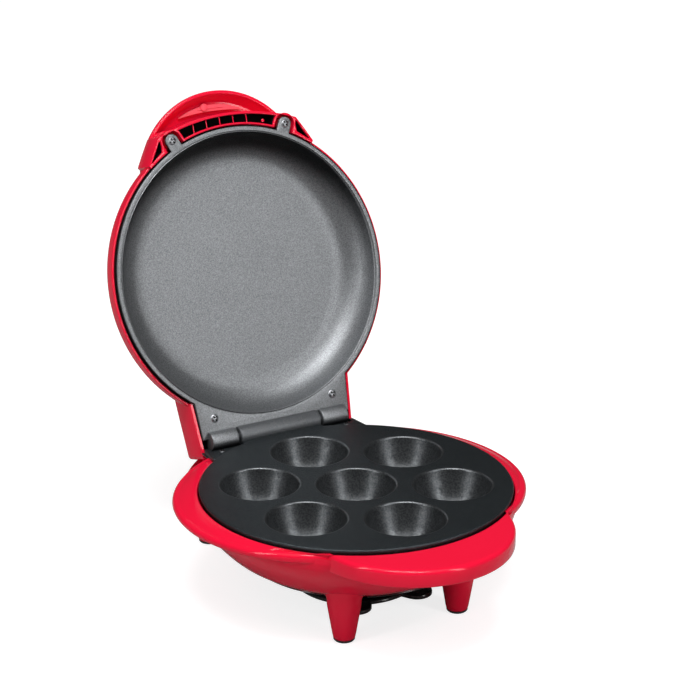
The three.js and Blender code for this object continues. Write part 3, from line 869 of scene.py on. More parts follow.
@dataclass
class Screw:
    """A cross-head screw, drawn with its head's crown at height 0 and looking up."""

    head: float = 3.15
    crown: float = 1.5
    arm: float = 2.1
    slot: float = 0.58
    finish: Finish = ZINC

    def head_shape(self) -> Shape:
        """The domed head.

        Returns:
            The head's skin.
        """
        profile = [(0, 0)]
        for i in range(1, 9):
            a = math.pi / 2 * i / 8
            profile.append((self.head * math.sin(a) ** 0.8, -self.crown * (1 - math.cos(a))))
        profile += [(self.head, -self.crown - 0.5), (1.4, -self.crown - 0.6), (1.4, -5), (0, -5)]
        return lathe(profile, 40)

    def recess_shade_shape(self) -> Shape:
        """The cross recess, as a thin black inlay of painted shade that follows the crown.

        Returns:
            The inlay's skin.
        """
        a, s = self.arm, self.slot
        plan = [(a, -s), (a, s), (s, s), (s, a), (-s, a), (-s, s)]
        plan += [(-x, -y) for x, y in plan]
        return prism(plan, -1.0, -0.12, 0.12, roof=lambda x, y: 0.24 - 0.10 * (x * x + y * y) / 1.5)

    def build(self, name: str, node: str, body: BodyName, at: Point3, up: bool) -> None:
        """Makes the head, and the black inlay and ring of painted shade in its recess and round it, at one
        place.

        Args:
            name: the head's name.
            node: the CAD node it stands for.
            body: the body it rides on.
            at: the crown's place.
            up: whether the head looks up in the drawn pose.
        """
        flip = 0.0 if up else 180.0
        head = make_piece(name, self.head_shape().turned(flip, "X").moved(*at), body, self.finish)
        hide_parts(node)
        # Painted shade: a black inlay in the cross recess and a black ring round the head stand in for their
        # shadow.
        dark = self.recess_shade_shape().turned(32)
        wide = self.head + 0.75
        dark.add(lathe([(self.head - 0.3, -self.crown - 0.1), (wide, -self.crown), (wide, -3.4)], 40))
        make_piece(f"{name}_recess", dark.turned(flip, "X").moved(*at), body, SHADE_BLACK)


# ------------------------------------------------------------------ base


@dataclass
class BaseHousing:
    """The red base: petal flange, bowl, rear housing and legs."""

    opening: float = 101.9
    top: float = 72.8
    skirt_bottom: float = 61.0
    front: tuple[float, float, float] = (0.0, -67.0, 66.0)
    side: tuple[float, float, float] = (17.5, 8.0, 99.0)
    wide: Point2 = (97.0, 69.0)
    narrow: Point2 = (61.0, 102.5)
    front_fall: float = 0.02
    side_fall: float = 0.20
    side_bottom: float = 66.0
    seat: float = 69.9
    seat_half: float = 60.4
    edge: float = 3.0
    belly: tuple[Point2, ...] = ((73, 31), (83, 37.3), (91.3, 45), (98, 53), (102.0, 60), (103.6, 66))
    front_leg: Point2 = FRONT_LEG
    rear_leg: Point2 = (48.4, 116.0)

    @staticmethod
    def _reach(angle: float, circle: tuple[float, float, float], sign: int = 1) -> float:
        """How far a circle reaches from the middle in one direction.

        Args:
            angle: the direction, in radians.
            circle: the circle's centre and radius.
            sign: -1 for its mirror image.

        Returns:
            The distance, or 0 if the direction misses the circle.
        """
        x, y, radius = circle
        along = sign * x * math.cos(angle) + y * math.sin(angle)
        rest = radius ** 2 - x ** 2 - y ** 2 + along ** 2
        return along + math.sqrt(rest) if rest > 0 else 0.0

    def outline(self, angle: float) -> tuple[float, bool]:
        """The flange's outer radius in one direction.

        Args:
            angle: the direction, in radians.

        Returns:
            The radius, and whether it belongs to the front petal.
        """
        front = self._reach(angle, self.front) if math.sin(angle) < 0 else 0.0
        side = max(self._reach(angle, self.side), self._reach(angle, self.side, -1))
        (x1, y1), (x2, y2) = self.wide, self.narrow
        slant = (y2 - y1) * abs(math.cos(angle)) + (x1 - x2) * math.sin(angle)
        corner = ((y2 - y1) * x1 + (x1 - x2) * y1) / slant if slant > 0 else math.inf
        rear = y2 / math.sin(angle) if math.sin(angle) > 0 else math.inf
        return min(max(front, side), corner, rear), front > side

    def _directions(self) -> list[float]:
        """The directions in which the flange is sampled, denser at its corners.

        Returns:
            Angles in radians, in order.
        """
        degrees = {round(i * 0.75, 4) for i in range(480)}
        was = self.outline(0)[1]
        for d in (i * 0.01 for i in range(36000)):
            now = self.outline(math.radians(d))[1]
            if now != was:
                degrees |= {round(d - 0.012, 4), round(d, 4)}
            was = now
        corners = [angle_of(p) for p in (self.wide, self.narrow)]
        corners += [180 - c for c in corners]
        degrees |= {round(c, 4) for c in corners}
        for sign in (-1, 1):
            for radius in (self.opening, SEAT_CORNER):
                edge = math.degrees(math.acos(self.seat_half / radius))
                at = edge if sign > 0 else 180 - edge
                degrees |= {round(at - 0.02, 4), round(at + 0.02, 4)}
        return [math.radians(d) for d in sorted(degrees)]

    def flange_shape(self) -> Shape:
        """The petal flange, from its opening over its rounded edge and under its skirt.

        Returns:
            The flange's skin.
        """
        directions = self._directions()
        spec = self._flange_profile()
        rings: list[list[Point3]] = [[] for _ in spec]
        for angle in directions:
            radius, is_front = self.outline(angle)
            fall = (self.front_fall if is_front else self.side_fall) * (radius - 101.1)
            for ring, (kind, inset, z) in zip(rings, spec):
                if kind == "hole":
                    r, drop = self.opening + inset, 0.0
                elif kind == "inner":
                    span = max(radius - self.edge - self.opening - 2.2, 0.0)
                    r, drop = self.opening + 1.2 + inset * span, fall * inset ** 1.5
                else:
                    r, drop = radius - inset, fall
                x, y = r * math.cos(angle), r * math.sin(angle)
                bottom = self.skirt_bottom if is_front else self.side_bottom - 0.3 * drop
                height = self.top - drop + z if kind != "skirt" else bottom + z
                if abs(x) < self.seat_half and y > 60 and height > self.seat:
                    height = self.seat
                ring.append((x, y, height))
        return loft(rings)

    def _flange_profile(self) -> list[tuple[str, float, float]]:
        """The flange's section, from inside the opening to under its edge.

        Returns:
            (kind, inset, height) of each ring.
        """
        hole = ((0.0, -9.0), (0.0, -1.0), (0.12, -0.45), (0.4, -0.12), (0.8, 0.0))
        spec = [("hole", inset, z) for inset, z in hole]
        spec += [("inner", t, 0.0) for t in (0.0, 0.15, 0.3, 0.45, 0.6, 0.75, 0.9, 1.0)]
        for i in range(1, 8):
            a = math.pi / 2 * i / 7
            spec.append(("edge", self.edge * (1 - math.sin(a)), -self.edge * (1 - math.cos(a))))
        spec += [("skirt", 0.1, 1.2), ("skirt", 0.35, 0.5), ("skirt", 0.7, 0.1), ("skirt", 1.2, 0.0)]
        spec += [("skirt", 2.0, 0.2), ("skirt", 2.5, 1.0), ("edge", 2.6, -3.6), ("hole", 1.6, -3.6)]
        return spec

    def belly_height(self, radius: float) -> float:
        """The height of the bowl's outside at a radius.

        Args:
            radius: distance from the middle axis.

        Returns:
            The height; the flat bottom's height inside the bowl's foot.
        """
        line = self._belly_line()
        for (r0, z0), (r1, z1) in zip(line, line[1:]):
            if r0 <= radius <= r1:
                return z0 + (z1 - z0) * (radius - r0) / max(r1 - r0, 1e-9)
        return line[0][1] if radius < line[0][0] else line[-1][1]

    def _belly_line(self) -> list[Point2]:
        """The bowl's smooth section, as (radius, height)."""
        return smooth_line(self.belly, 8)

    def bowl_shape(self) -> Shape:
        """The round bowl under the flange, open at the bottom.

        Returns:
            The bowl's skin.
        """
        foot = filleted([(63, 35, 0), (63, 31.0, 0.5), (73, 31, 2.0), self._belly_line()[2] + (0,)], 4)
        return lathe([*foot[:-1], *self._belly_line()[2:], (103.6, 70)], 240)

    def leg_shape(self, at: Point2, floor: float | None) -> Shape:
        """A tapered leg that flares into what is above it.

        Args:
            at: the leg's axis.
            floor: the height of the flat surface above it, or None for the bowl.

        Returns:
            The leg's skin.
        """
        count = 72
        line = filleted(
            [(0, 1.75, 0), (6.9, 1.75, 1.3), (7.6, 5.0, 2.0), (9.6, 17.0, 20.0), (LEG_RADIUS, LEG_TOP, 0)], 5,
        )
        rings: list[list[Point3]] = []
        for r, z in line:
            if r < 1e-6:
                rings.append([(at[0], at[1], z)])
                continue
            round_it = [polar(r, 360 * i / count) for i in range(count)]
            rings.append([(at[0] + x, at[1] + y, z) for x, y in round_it])
        out_angle = math.atan2(at[1], at[0])
        for k in range(1, 11):
            t = k / 10
            ring = []
            for i in range(count):
                a = 2 * math.pi * i / count
                reach = 13.2 if floor is not None else 13.4 + 2.0 * max(0.0, math.cos(a - out_angle))
                end = (at[0] + reach * math.cos(a), at[1] + reach * math.sin(a))
                goal = floor if floor is not None else max(31.0, self.belly_height(math.hypot(*end)))
                ease_z = (goal + 0.12 - LEG_TOP) * (1 - (1 - t) ** 1.7)
                r = LEG_RADIUS + (reach - LEG_RADIUS) * (t ** 2.6)
                ring.append((at[0] + r * math.cos(a), at[1] + r * math.sin(a), LEG_TOP + ease_z))
            rings.append(ring)
        return loft(rings)

    @staticmethod
    def _tail_fall(x: float, y: float) -> float:
        """How far the rear housing's roof falls away at a point."""
        return -0.3365 * max(y - 101.8, 0.0) - 0.1 - 0.75 * max(abs(x) - 48.0, 0.0)

    def tail_shape(self) -> Shape:
        """The rear housing under the hinge, with its sloping roof.

        Returns:
            The housing's block.
        """
        back = arc((49, 118), 13, 0, 90, 12) + arc((-49, 118), 13, 90, 180, 12)
        walls = [(62, 62), *back, (-62, 62), (-58, 62), (-58, 98), (58, 98), (58, 62)]
        shape = prism(walls, 33, 65.0, 1.2, roof=self._tail_fall, steps=4)
        shape.add(prism([(58.4, 42), (62, 42), (62, 66), (58.4, 66)], 33, 48.5, 0.8).both_sides())
        return shape.add(prism([(61.6, 40), (61.6, 112), (-61.6, 112), (-61.6, 40)], 33.4, 36.0, 0.3))

    def build(self) -> None:
        """Makes the red base."""
        flange = make_piece("base_flange", self.flange_shape(), BodyName.BASE, RED, 48)
        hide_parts("base_housing")
        make_piece("base_bowl", self.bowl_shape(), BodyName.BASE, RED, 50)
        make_piece("rear_housing", self.tail_shape(), BodyName.BASE, RED, 42)
        for side in Side:
            for end, (x, y), floor in (("front", self.front_leg, None), ("rear", self.rear_leg, 33.0)):
                leg = self.leg_shape((x * side.value, y), floor)
                make_piece(f"{end}_leg_{side.name.lower()}", leg, BodyName.BASE, RED, 60)


@dataclass
class FootPads:
    """The dark pads that the legs stand on."""

    radius: float = 6.9
    thick: float = 1.75

    def shape(self) -> Shape:
        """One pad, on its own axis.

        Returns:
            The pad's skin.
        """
        r, top = self.radius, self.thick
        corners = [(0, 0, 0), (5.9, 0, 0.7), (r, top * 0.6, 0.6), (r, top, 0.3), (0, top, 0)]
        return lathe(filleted(corners, 4), 48)

    def build(self, housing: BaseHousing) -> None:
        """Makes a pad under each leg.

        Args:
            housing: the base whose legs the pads go under.
        """
        for end, (x, y) in (("front", housing.front_leg), ("rear", housing.rear_leg)):
            for side in Side:
                label = side.name.lower()
                shape = self.shape().moved(x * side.value, y)
                pad = make_piece(f"{end}_pad_{label}", shape, BodyName.BASE, RUBBER)
                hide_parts(f"{end}_{label}_foot_pad")


@dataclass
class LowerPlate:
    """The dark cast plate with seven cups and the middle hinge barrel."""

    radius: float = 101.1
    top: float = 75.6
    cup_rim: float = 25.3
    pitch: float = 62.0
    depth: float = 24.0
    lip: float = 1.5
    tongue_top: float = 73.4

    def cup_places(self) -> list[Point2]:
        """The middles of the seven cups."""
        return [(0.0, 0.0)] + [polar(self.pitch, 30 + 60 * i) for i in range(6)]

    def disc_shape(self) -> Shape:
        """The round top with its rounded edge and skirt, pierced for the cups.

        Returns:
            The disc's skin.
        """
        segments = 96
        mouth = self.cup_rim + self.lip
        loops = [arc((0, 0), 99.9, 0, 360, 288)[:-1]]
        loops += [arc(c, mouth, 0, 360, segments)[:-1] for c in self.cup_places()]
        flat = [p for loop in loops for p in loop]
        plan = [[Vector((*p, 0)) for p in loop] for loop in loops]
        shape = Shape([(x, y, self.top) for x, y in flat], [])
        for tri in tessellate_polygon(plan):
            ids = list(tri)
            if signed_area([flat[i] for i in ids]) < 0:
                ids.reverse()
            shape.faces.append(tuple(ids))
        edge = [(99.9, self.top), (100.5, self.top - 0.09), (100.9, self.top - 0.42)]
        edge += [(self.radius, self.top - 0.9), (self.radius, 73.9)]
        edge += [(100.9, 73.2), (100.3, 72.8), (99.9, 70.0), (99.7, 67.8), (97.4, 67.8)]
        return shape.add(lathe(edge, 288))

    def cup_shape(self) -> Shape:
        """One cup, from the rounded edge of its mouth to its floor.

        Returns:
            The cup's skin, on its own axis.
        """
        rim, top = self.cup_rim, self.top
        mouth = []
        for i in range(7):
            a = math.pi / 2 * i / 6 * 0.94
            mouth.append((rim + self.lip - self.lip * math.sin(a), top - self.lip * (1 - math.cos(a))))
        section = [(0.25, 2.6), (1.1, 6.0), (2.6, 10.6), (4.6, 15.6), (6.6, 19.2), (8.8, 21.9), (12.2, 23.6)]
        wall = [(rim - inwards, top - down) for inwards, down in [*section, (17, 24.0)]]
        return lathe([*mouth, *smooth_line(wall, 5), (0, top - self.depth)], 96)

    def under_shape(self) -> Shape:
        """The outside of one cup, seen from under the plate.

        Returns:
            The cup's outer skin, on its own axis.
        """
        line = [(26.4, 73), (24.4, 66), (21.6, 59), (18.2, 53.6), (14, 50.2), (0, 49.8)]
        return lathe(smooth_line(line, 3), 48)

    def tongue_shape(self) -> Shape:
        """The rear tongue and the web that carries the middle barrel.

        Returns:
            The tongue's blocks.
        """
        plan = [(33.0, 88), (56.0, 84), (58.9, 86), (56.6, 103.7), (53.6, 103.7), (53.6, 98.8), (29.0, 98.8)]
        side = prism(plan, 70.4, self.tongue_top, 0.5)
        web = prism([(-30.0, 92), (30.0, 92), (30.0, 105.4), (-30.0, 105.4)], 70.4, 75.4, 0.5)
        seat = prism([(57.5, 97.0), (57.5, 112), (-57.5, 112), (-57.5, 97.0)], 69.2, 70.08, 0.1)
        return side.both_sides().add(web).add(seat)

    def build(self) -> None:
        """Makes the plate, its cups, its tongue and its barrel."""
        shape = self.disc_shape()
        cups = Shape()
        for place in self.cup_places():
            cups.add(self.cup_shape().moved(*place))
            shape.add(self.under_shape().moved(*place))
        plate = make_piece("cup_plate", shape, BodyName.BASE, DARK_COATING, 40)
        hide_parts("lower_plate")
        make_piece("cup_walls", cups, BodyName.BASE, CUP_SHEEN_COATING, 60)
        make_piece("cup_plate_tongue", self.tongue_shape(), BodyName.BASE, DARK_COATING)
        middle = barrel(BARREL_RADIUS, -30.2, 30.2, 0.8).moved(0, *PLACE.hinge)
        make_piece("middle_barrel", middle, BodyName.BASE, BARREL_GREY)
        for side in Side:
            label = side.name.lower()
            Screw(head=2.3, crown=1.0, arm=1.5, finish=DULL_ZINC).build(
                f"tongue_screw_{label}", f"lower_plate_screw_{label}", BodyName.BASE,
                (47.5 * side.value, 95.5, self.tongue_top + 0.8), True,
            )


@dataclass
class Underside:
    """The black cover, the cord wrap and the cord's bush."""

    cover_radius: float = 72.4
    cover_low: float = 29.6

    def cover_shape(self) -> Shape:
        """The round cover with its vent slots and its notches round the legs.

        Returns:
            The cover's block.
        """
        outline = []
        for i in range(360):
            x, y = polar(self.cover_radius, i)
            if math.hypot(abs(x) - FRONT_LEG[0], y - FRONT_LEG[1]) >= 14.6:
                outline.append((x, y))
        outline = self._with_notches(outline)
        slots = []
        for side in (-1, 1):
            for i in range(-2, 3):
                x, y = side * 44, i * 8
                slots.append(arc((x + 8.6, y), 1.4, -90, 90, 6) + arc((x - 8.6, y), 1.4, 90, 270, 6))
        return prism(outline, self.cover_low, 30.7, 0.6, holes=slots)

    @staticmethod
    def _with_notches(outline: list[Point2]) -> list[Point2]:
        """Puts a round notch where the outline was broken off at a leg.

        Args:
            outline: the outline's points, with a gap at each leg.

        Returns:
            The outline with its gaps filled by arcs.
        """
        out: list[Point2] = []
        for here, after in zip(outline, [*outline[1:], outline[0]]):
            out.append(here)
            if math.dist(here, after) < 3:
                continue
            leg = (math.copysign(FRONT_LEG[0], here[0]), FRONT_LEG[1])
            a0, a1 = angle_of(here, leg), angle_of(after, leg)
            if a1 > a0:
                a1 -= 360
            out.extend(arc(leg, 14.4, a0, a1, 14))
        return out

    def wrap_shape(self) -> Shape:
        """The hub, disc and ears that the cord is wound on.

        Returns:
            The wrap's skin.
        """
        line = [(0, 7.6, 0), (37, 7.6, 3), (40.6, 9.0, 1.2), (41.2, 10.6, 0.8), (40.4, 11.8, 0.6)]
        line += [(20.5, 11.8, 1.0), (20.5, 28.2, 0)]
        shape = lathe(filleted(line, 5), 128)
        for turn in (-60, -120, 60, 120):
            ear = [(30, -10), *arc((45, 0), 10, -90, 90, 24), (30, 10)]
            shape.add(prism(turned_by(ear, turn), 8.8, 11.8, 0.8))
        return shape

    def bush_shape(self) -> Shape:
        """The bush that guards the cord's hole.

        Returns:
            The bush's skin, at its place.
        """
        line = [(3.6, -7, 0), (5.2, -7, 0.3), (5.2, 0.4, 0), (8.2, 0.4, 0.4), (8.2, 2.4, 0.6)]
        line += [(6.4, 3.8, 0.6), (3.6, 3.8, 0.5), (3.6, -7, 0)]
        return lathe(filleted(line, 4), 56).turned(-90, "X").moved(0, 131, 44)

    def build(self) -> None:
        """Makes everything under and behind the base."""
        cover = make_piece("under_cover", self.cover_shape(), BodyName.BASE, BLACK)
        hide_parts("bottom_cover")
        wrap = make_piece("cord_winder", self.wrap_shape(), BodyName.BASE, BLACK)
        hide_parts("cord_wrap")
        bush = make_piece("cord_bush", self.bush_shape(), BodyName.BASE, BLACK)
        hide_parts("cord_inlet")
        for i, turn in enumerate((90, -10, 190)):
            Screw(head=3.0).build(
                f"cover_screw_{i + 1}", f"bottom_cover_screw_{i + 1}", BodyName.BASE,
                (*polar(68, turn), 29.2), False,
            )


# ------------------------------------------------------------------ lid, drawn closed


@dataclass
class LidPlan:
    """Shared sizes of the lid's plan."""

    face: float = 76.8
    outer: float = 100.6
    inner: float = 98.9
    recess: float = 3.0
    straight: float = 9.0
    rise: float = 33.0
    ear_angle: float = 24.1
    ear_radius: float = 103.9
    ear_half: float = 4.6
    pocket: float = 6.9
    neck_front: float = 60.5
    neck_back: float = 57.5
    neck_rear: float = 118.0
    handle_y: float = -62.7
    chin_y: float = 33.5

    def neck(self, inset: float) -> list[Point2]:
        """The neck's plan, as a shape that holds the middle.

        Args:
            inset: how far inside the neck's outer walls it lies.

        Returns:
            Its outline, anticlockwise.
        """
        f, b, r = self.neck_front - inset, self.neck_back - inset, self.neck_rear - inset
        round_corner = arc((b - 3, r - 3), 3, 0, 90, 5)
        half = [(f + 1.2, 50), (f, 79), *round_corner]
        return half + mirror_x(half)

    def ear_sides(self) -> tuple[float, float]:
        """The directions of the two ears, in degrees."""
        return -90 - self.ear_angle, -90 + self.ear_angle

    def ear_place(self, side: Side) -> Point2:
        """The middle of an ear's screw."""
        return polar(self.ear_radius, -90 + side.value * self.ear_angle)


@dataclass
class LidShell:
    """The red lid: dome, rim, neck, front block and lipped handle."""

    plan: LidPlan
    handle_radius: float = 61.7
    chin_radius: float = 141.4

    def dome_shape(self) -> Shape:
        """The dome over the plate.

        Returns:
            The dome's skin.
        """
        start, rise, face = self.plan.straight, self.plan.rise, self.plan.face
        line = [(self.plan.outer, face + self.plan.recess + 0.3)]
        for i in range(33):
            a = math.pi / 2 * i / 32
            line.append((self.plan.outer * math.cos(a), face + start + rise * math.sin(a)))
        line[-1] = (0, face + start + rise)
        return lathe(line, 288)

    def rim_shape(self) -> Shape:
        """The thin wall round the plate, broken at the two ears.

        Returns:
            The wall's blocks.
        """
        outer = star_outline(self.plan.outer, [self.plan.neck(0)])
        inner = star_outline(self.plan.inner, [self.plan.neck(NECK_WALL)])
        gap = math.degrees(math.asin(self.plan.pocket / 101.3))
        left, right = (a % 360 for a in self.plan.ear_sides())
        shape = Shape()
        for first, last in ((right + gap, left - gap + 360), (left + gap, right - gap)):
            out_part = self._between(outer, first, last)
            in_part = self._between(inner, first, last)
            wall = out_part + in_part[::-1]
            shape.add(prism(wall, self.plan.face + self.plan.recess, self.plan.face + 7, 0.5))
        return shape

    @staticmethod
    def _between(loop: Sequence[Point2], first: float, last: float) -> list[Point2]:
        """The part of an outline between two directions.

        Args:
            loop: an outline about the middle.
            first: the first direction, in degrees.
            last: the last direction, in degrees, more than first.

        Returns:
            Its points, in order, with both ends.
        """
        ends = []
        for a in (first, last):
            nearest = min(loop, key=lambda p: abs((angle_of(p) - a + 180) % 360 - 180))
            ends.append(polar(math.hypot(*nearest), a))
        inside = [(((angle_of(p) - first) % 360), p) for p in loop]
        kept = [p for d, p in sorted(inside) if 0.05 < d < last - first - 0.05]
        return [ends[0], *kept, ends[1]]

    def dome_height(self, radius: float) -> float:
        """The height of the dome's outside above the plate's face."""
        level = min(radius / self.plan.outer, 1.0)
        return self.plan.straight + self.plan.rise * math.sqrt(1 - level * level)

    def neck_shape(self) -> Shape:
        """The neck's walls and roof.

        Returns:
            The neck's blocks.
        """
        face = self.plan.face
        rings: list[list[Point3]] = [[] for _ in range(6)]
        outer = self._neck_path(0)
        inner = self._neck_path(NECK_WALL)
        for (x, y), (ix, iy) in zip(outer, inner):
            radius = math.hypot(x, y)
            low = 1.6 if radius >= self.plan.outer - 2.5 else self.dome_height(radius) - 1.0
            mx, my = (x * 0.8 + ix * 0.2, y * 0.8 + iy * 0.2)
            rings[0].append((x, y, face + 23.5))
            rings[1].append((x, y, face + low + 0.6))
            rings[2].append((mx, my, face + low))
            rings[3].append((ix, iy, face + low))
            rings[4].append((ix, iy, face + low + 0.6))
            rings[5].append((ix, iy, face + 23.0))
        roof_plan = [p for p in outer if p[1] > 56] + arc((0, 0), 82.5, 136, 44, 16)
        roof = prism(roof_plan, face + 20.9, face + 26, 3.0, steps=5)
        return loft(rings, closed=False).add(roof)

    def _neck_path(self, inset: float) -> list[Point2]:
        """The neck's sides and back, from its right front to its left front.

        Args:
            inset: how far inside the outer walls it runs.

        Returns:
            The points of the path.
        """
        f, b, r = (v - inset for v in (self.plan.neck_front, self.plan.neck_back, self.plan.neck_rear))
        side = [(f + 0.9, 56.5), (f + 0.6, 66), (f + 0.3, 73), (f, 79), (f - 0.4, 84)]
        half = [*side, *arc((b - 3, r - 3), 3, 0, 90, 6)]
        return half + mirror_x(half)

    def handle_shape(self) -> Shape:
        """The raised front petal with its rolled lip and hollow underside.

        Returns:
            The petal's skin.
        """
        r, face = self.handle_radius, self.plan.face
        lip = [(r - 7.0, 25, 1.5), (r - 3.4, 20.0, 1.5), (r - 2.3, 17.9, 0.7), (r - 0.1, 17.9, 0.9)]
        under = filleted([(0, 25, 0), *lip, (r, 20.4, 0)], 4)
        brow = [(r - 0.7, 22.8), (r - 2.6, 25.0), (r - 6.2, 27.4), (r - 13, 29.9), (r - 30, 33.2)]
        over = smooth_line([(r, 20.4), *brow, (6.0, 34.9)], 5)
        line = [(a, face + h) for a, h in [*under[:-1], *over]]
        shape = lathe([*line, (0, face + 35)], 240).moved(0, self.plan.handle_y)
        kept = []
        for x, y, z in shape.points:
            radius = math.hypot(x, y)
            floor = face + self.dome_height(radius) - 1.2 if radius < self.plan.outer else 0.0
            kept.append((x, y, max(z, floor)))
        shape.points = kept
        return shape

    def _chin_loop(self) -> list[Point2]:
        """The outline of the front block, with a way in round each ear.

        Returns:
            The outline's points.
        """
        chin = (0.0, self.plan.chin_y)
        inner = 99.4
        corner, shoulder = (61.8, -80.6), (51.6, -98.15)
        line = [corner, (57.2, -88.9)]
        across = (-shoulder[0], shoulder[1])
        line += arc(chin, self.chin_radius, angle_of(shoulder, chin), angle_of(across, chin), 48)
        line += [(-57.2, -88.9), (-corner[0], corner[1])]
        left, right = self.plan.ear_sides()
        gap = math.degrees(math.asin(self.plan.pocket / inner))
        edge = angle_of(corner)
        line += arc((0, 0), inner, -180 - edge, left - gap, 8)
        line += self._pocket(left)
        line += arc((0, 0), inner, left + gap, right - gap, 24)
        line += self._pocket(right)
        line += arc((0, 0), inner, right + gap, edge, 8)
        return line

    def _pocket(self, direction: float) -> list[Point2]:
        """The U-shaped way round one ear, from its clockwise side.

        Args:
            direction: the ear's direction from the middle.

        Returns:
            The points of the U.
        """
        p = self.plan.pocket
        return turned_by(arc((self.plan.ear_radius, 0), p, -90, 90, 20), direction)

    def chin_holes(self) -> list[list[Point2]]:
        """The open pockets of the front block: the long ribbed one and a corner on each side.

        Returns:
            Their outlines.
        """
        chin = (0.0, self.plan.chin_y)
        right = self.plan.ear_sides()[1]
        wall = self.plan.pocket + 1.5
        ear = self.plan.ear_place(Side.RIGHT)
        bend = arc(ear, wall, right - 90, right - 10, 18)
        side = [p for p in bend if math.dist(p, chin) < self.chin_radius - 1.9]
        gap = math.degrees(math.asin(wall / 100.7))
        lower = arc((0, 0), 100.7, -90, right - gap, 16)
        upper_end = angle_of(side[-1], chin)
        upper = arc(chin, self.chin_radius - 1.8, upper_end, -90, 20)
        half = [*lower, *side, *upper][:-1]
        middle = half + mirror_x(half)
        middle = [p for i, p in enumerate(middle) if math.dist(p, middle[i - 1]) > 0.2]
        corner = [(50.9, -96.0), (50.3, -92.5), (50.6, -88.4), (58.9, -82.1), (59.5, -82.4)]
        corner += [(55.5, -88.9), (52.2, -95.0)]
        return [middle, corner, mirror_x(corner)]

    def chin_shape(self) -> Shape:
        """The front block's walls.

        Returns:
            The block.
        """
        face = self.plan.face
        return prism(self._chin_loop(), face + 0.12, face + 19.5, 0.4, holes=self.chin_holes())

    def chin_wall_shape(self) -> Shape:
        """The upper part of the front wall, up to the underside of the lip.

        Returns:
            The wall's skin.
        """
        face, centre = self.plan.face, (0.0, self.plan.chin_y)
        rings: list[list[Point3]] = [[], []]
        for x, y in arc(centre, self.chin_radius - 0.02, -90 - 19.5, -90 + 19.5, 64):
            from_middle = math.dist((x, y), (0, self.plan.handle_y))
            over = max(0.0, self.handle_radius - 2.4 - from_middle)
            rings[0].append((x, y, face + 16))
            rings[1].append((x, y, face + min(25.4, 17.4 + 2.2 * over)))
        return loft(rings, closed=False)

    def rib_shape(self) -> Shape:
        """The five thin ribs in the long pocket.

        Returns:
            The ribs' blocks.
        """
        shape = Shape()
        for i in range(5):
            x = (i - 2.5) * 10
            inner = -math.sqrt(100.3 ** 2 - x * x)
            outer = self.plan.chin_y - math.sqrt((self.chin_radius - 1.0) ** 2 - x * x)
            plan = [(x - 0.3, outer), (x + 0.3, outer), (x + 0.3, inner), (x - 0.3, inner)]
            shape.add(prism(plan, self.plan.face + 1.3, self.plan.face + 1.9, 0.15))
        dot = arc((27.0, -99.2), 1.1, 0, 360, 20)[:-1]
        return shape.add(prism(dot, self.plan.face + 1.4, self.plan.face + 2.2, 0.2))

    def shade_shape(self) -> Shape:
        """Painted shade: a black lining inside the open pockets, standing in for the shadow in their depth.

        Returns:
            A thin lining of each pocket.
        """
        face, shape = self.plan.face, Shape()
        for hole in self.chin_holes():
            loop = hole if signed_area(hole) > 0 else hole[::-1]
            inset = inset_loop(loop, 0.06)
            rings = [[(x, y, face + h) for x, y in inset] for h in (1.5, 12.0)]
            shape.add(loft(rings))
            first = len(shape.points)
            shape.points.extend(rings[1])
            for tri in tessellate_polygon([[Vector((*p, 0)) for p in inset]]):
                shape.faces.append(tuple(first + i for i in tri))
        return shape

    def seam_shape(self) -> Shape:
        """Painted shade: a black lining in the seam between the plate and the lid's wall, standing in for its
        shadow.

        Returns:
            A thin lining of the seam.
        """
        face = self.plan.face
        outline = inset_loop(star_outline(self.plan.inner, [self.plan.neck(NECK_WALL)]), 0.06)
        low = [(x, y, face + 1.1) for x, y in outline]
        high = [(x, y, face + 4.2) for x, y in outline]
        middle = [(0.97 * x, 0.97 * y, face + 4.2) for x, y in outline]
        return loft([low, high, middle])

    def ear_floor_shape(self) -> Shape:
        """The posts and floor behind the two ears.

        Returns:
            The posts' and floors' blocks.
        """
        shape = Shape()
        for side in Side:
            place = self.plan.ear_place(side)
            for radius, count, low, high in ((7.4, 32, 9, 12), (4.4, 28, 3.4, 10)):
                ring = arc(place, radius, 0, 360, count)[:-1]
                shape.add(prism(ring, self.plan.face + low, self.plan.face + high, 0.3))
        return shape

    def build(self) -> None:
        """Makes the red lid."""
        dome = make_piece("lid_dome", self.dome_shape(), BodyName.LID, RED, 60)
        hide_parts("lid_shell")
        make_piece("lid_rim", self.rim_shape(), BodyName.LID, RED)
        make_piece("lid_neck", self.neck_shape(), BodyName.LID, RED)
        make_piece("lid_handle", self.handle_shape(), BodyName.LID, RED, 50)
        make_piece("lid_front_block", self.chin_shape(), BodyName.LID, RED)
        make_piece("lid_front_wall", self.chin_wall_shape(), BodyName.LID, RED)
        make_piece("lid_front_ribs", self.rib_shape(), BodyName.LID, RED)
        # Painted shade: black lining in the pockets' depth.
        make_piece("lid_pocket_painted_shade", self.shade_shape(), BodyName.LID, SHADE_BLACK)
        # Painted shade: black lining in the seam round the plate.
        make_piece("lid_seam_painted_shade", self.seam_shape(), BodyName.LID, SHADE_BLACK)
        make_piece("lid_ear_posts", self.ear_floor_shape(), BodyName.LID, RED)


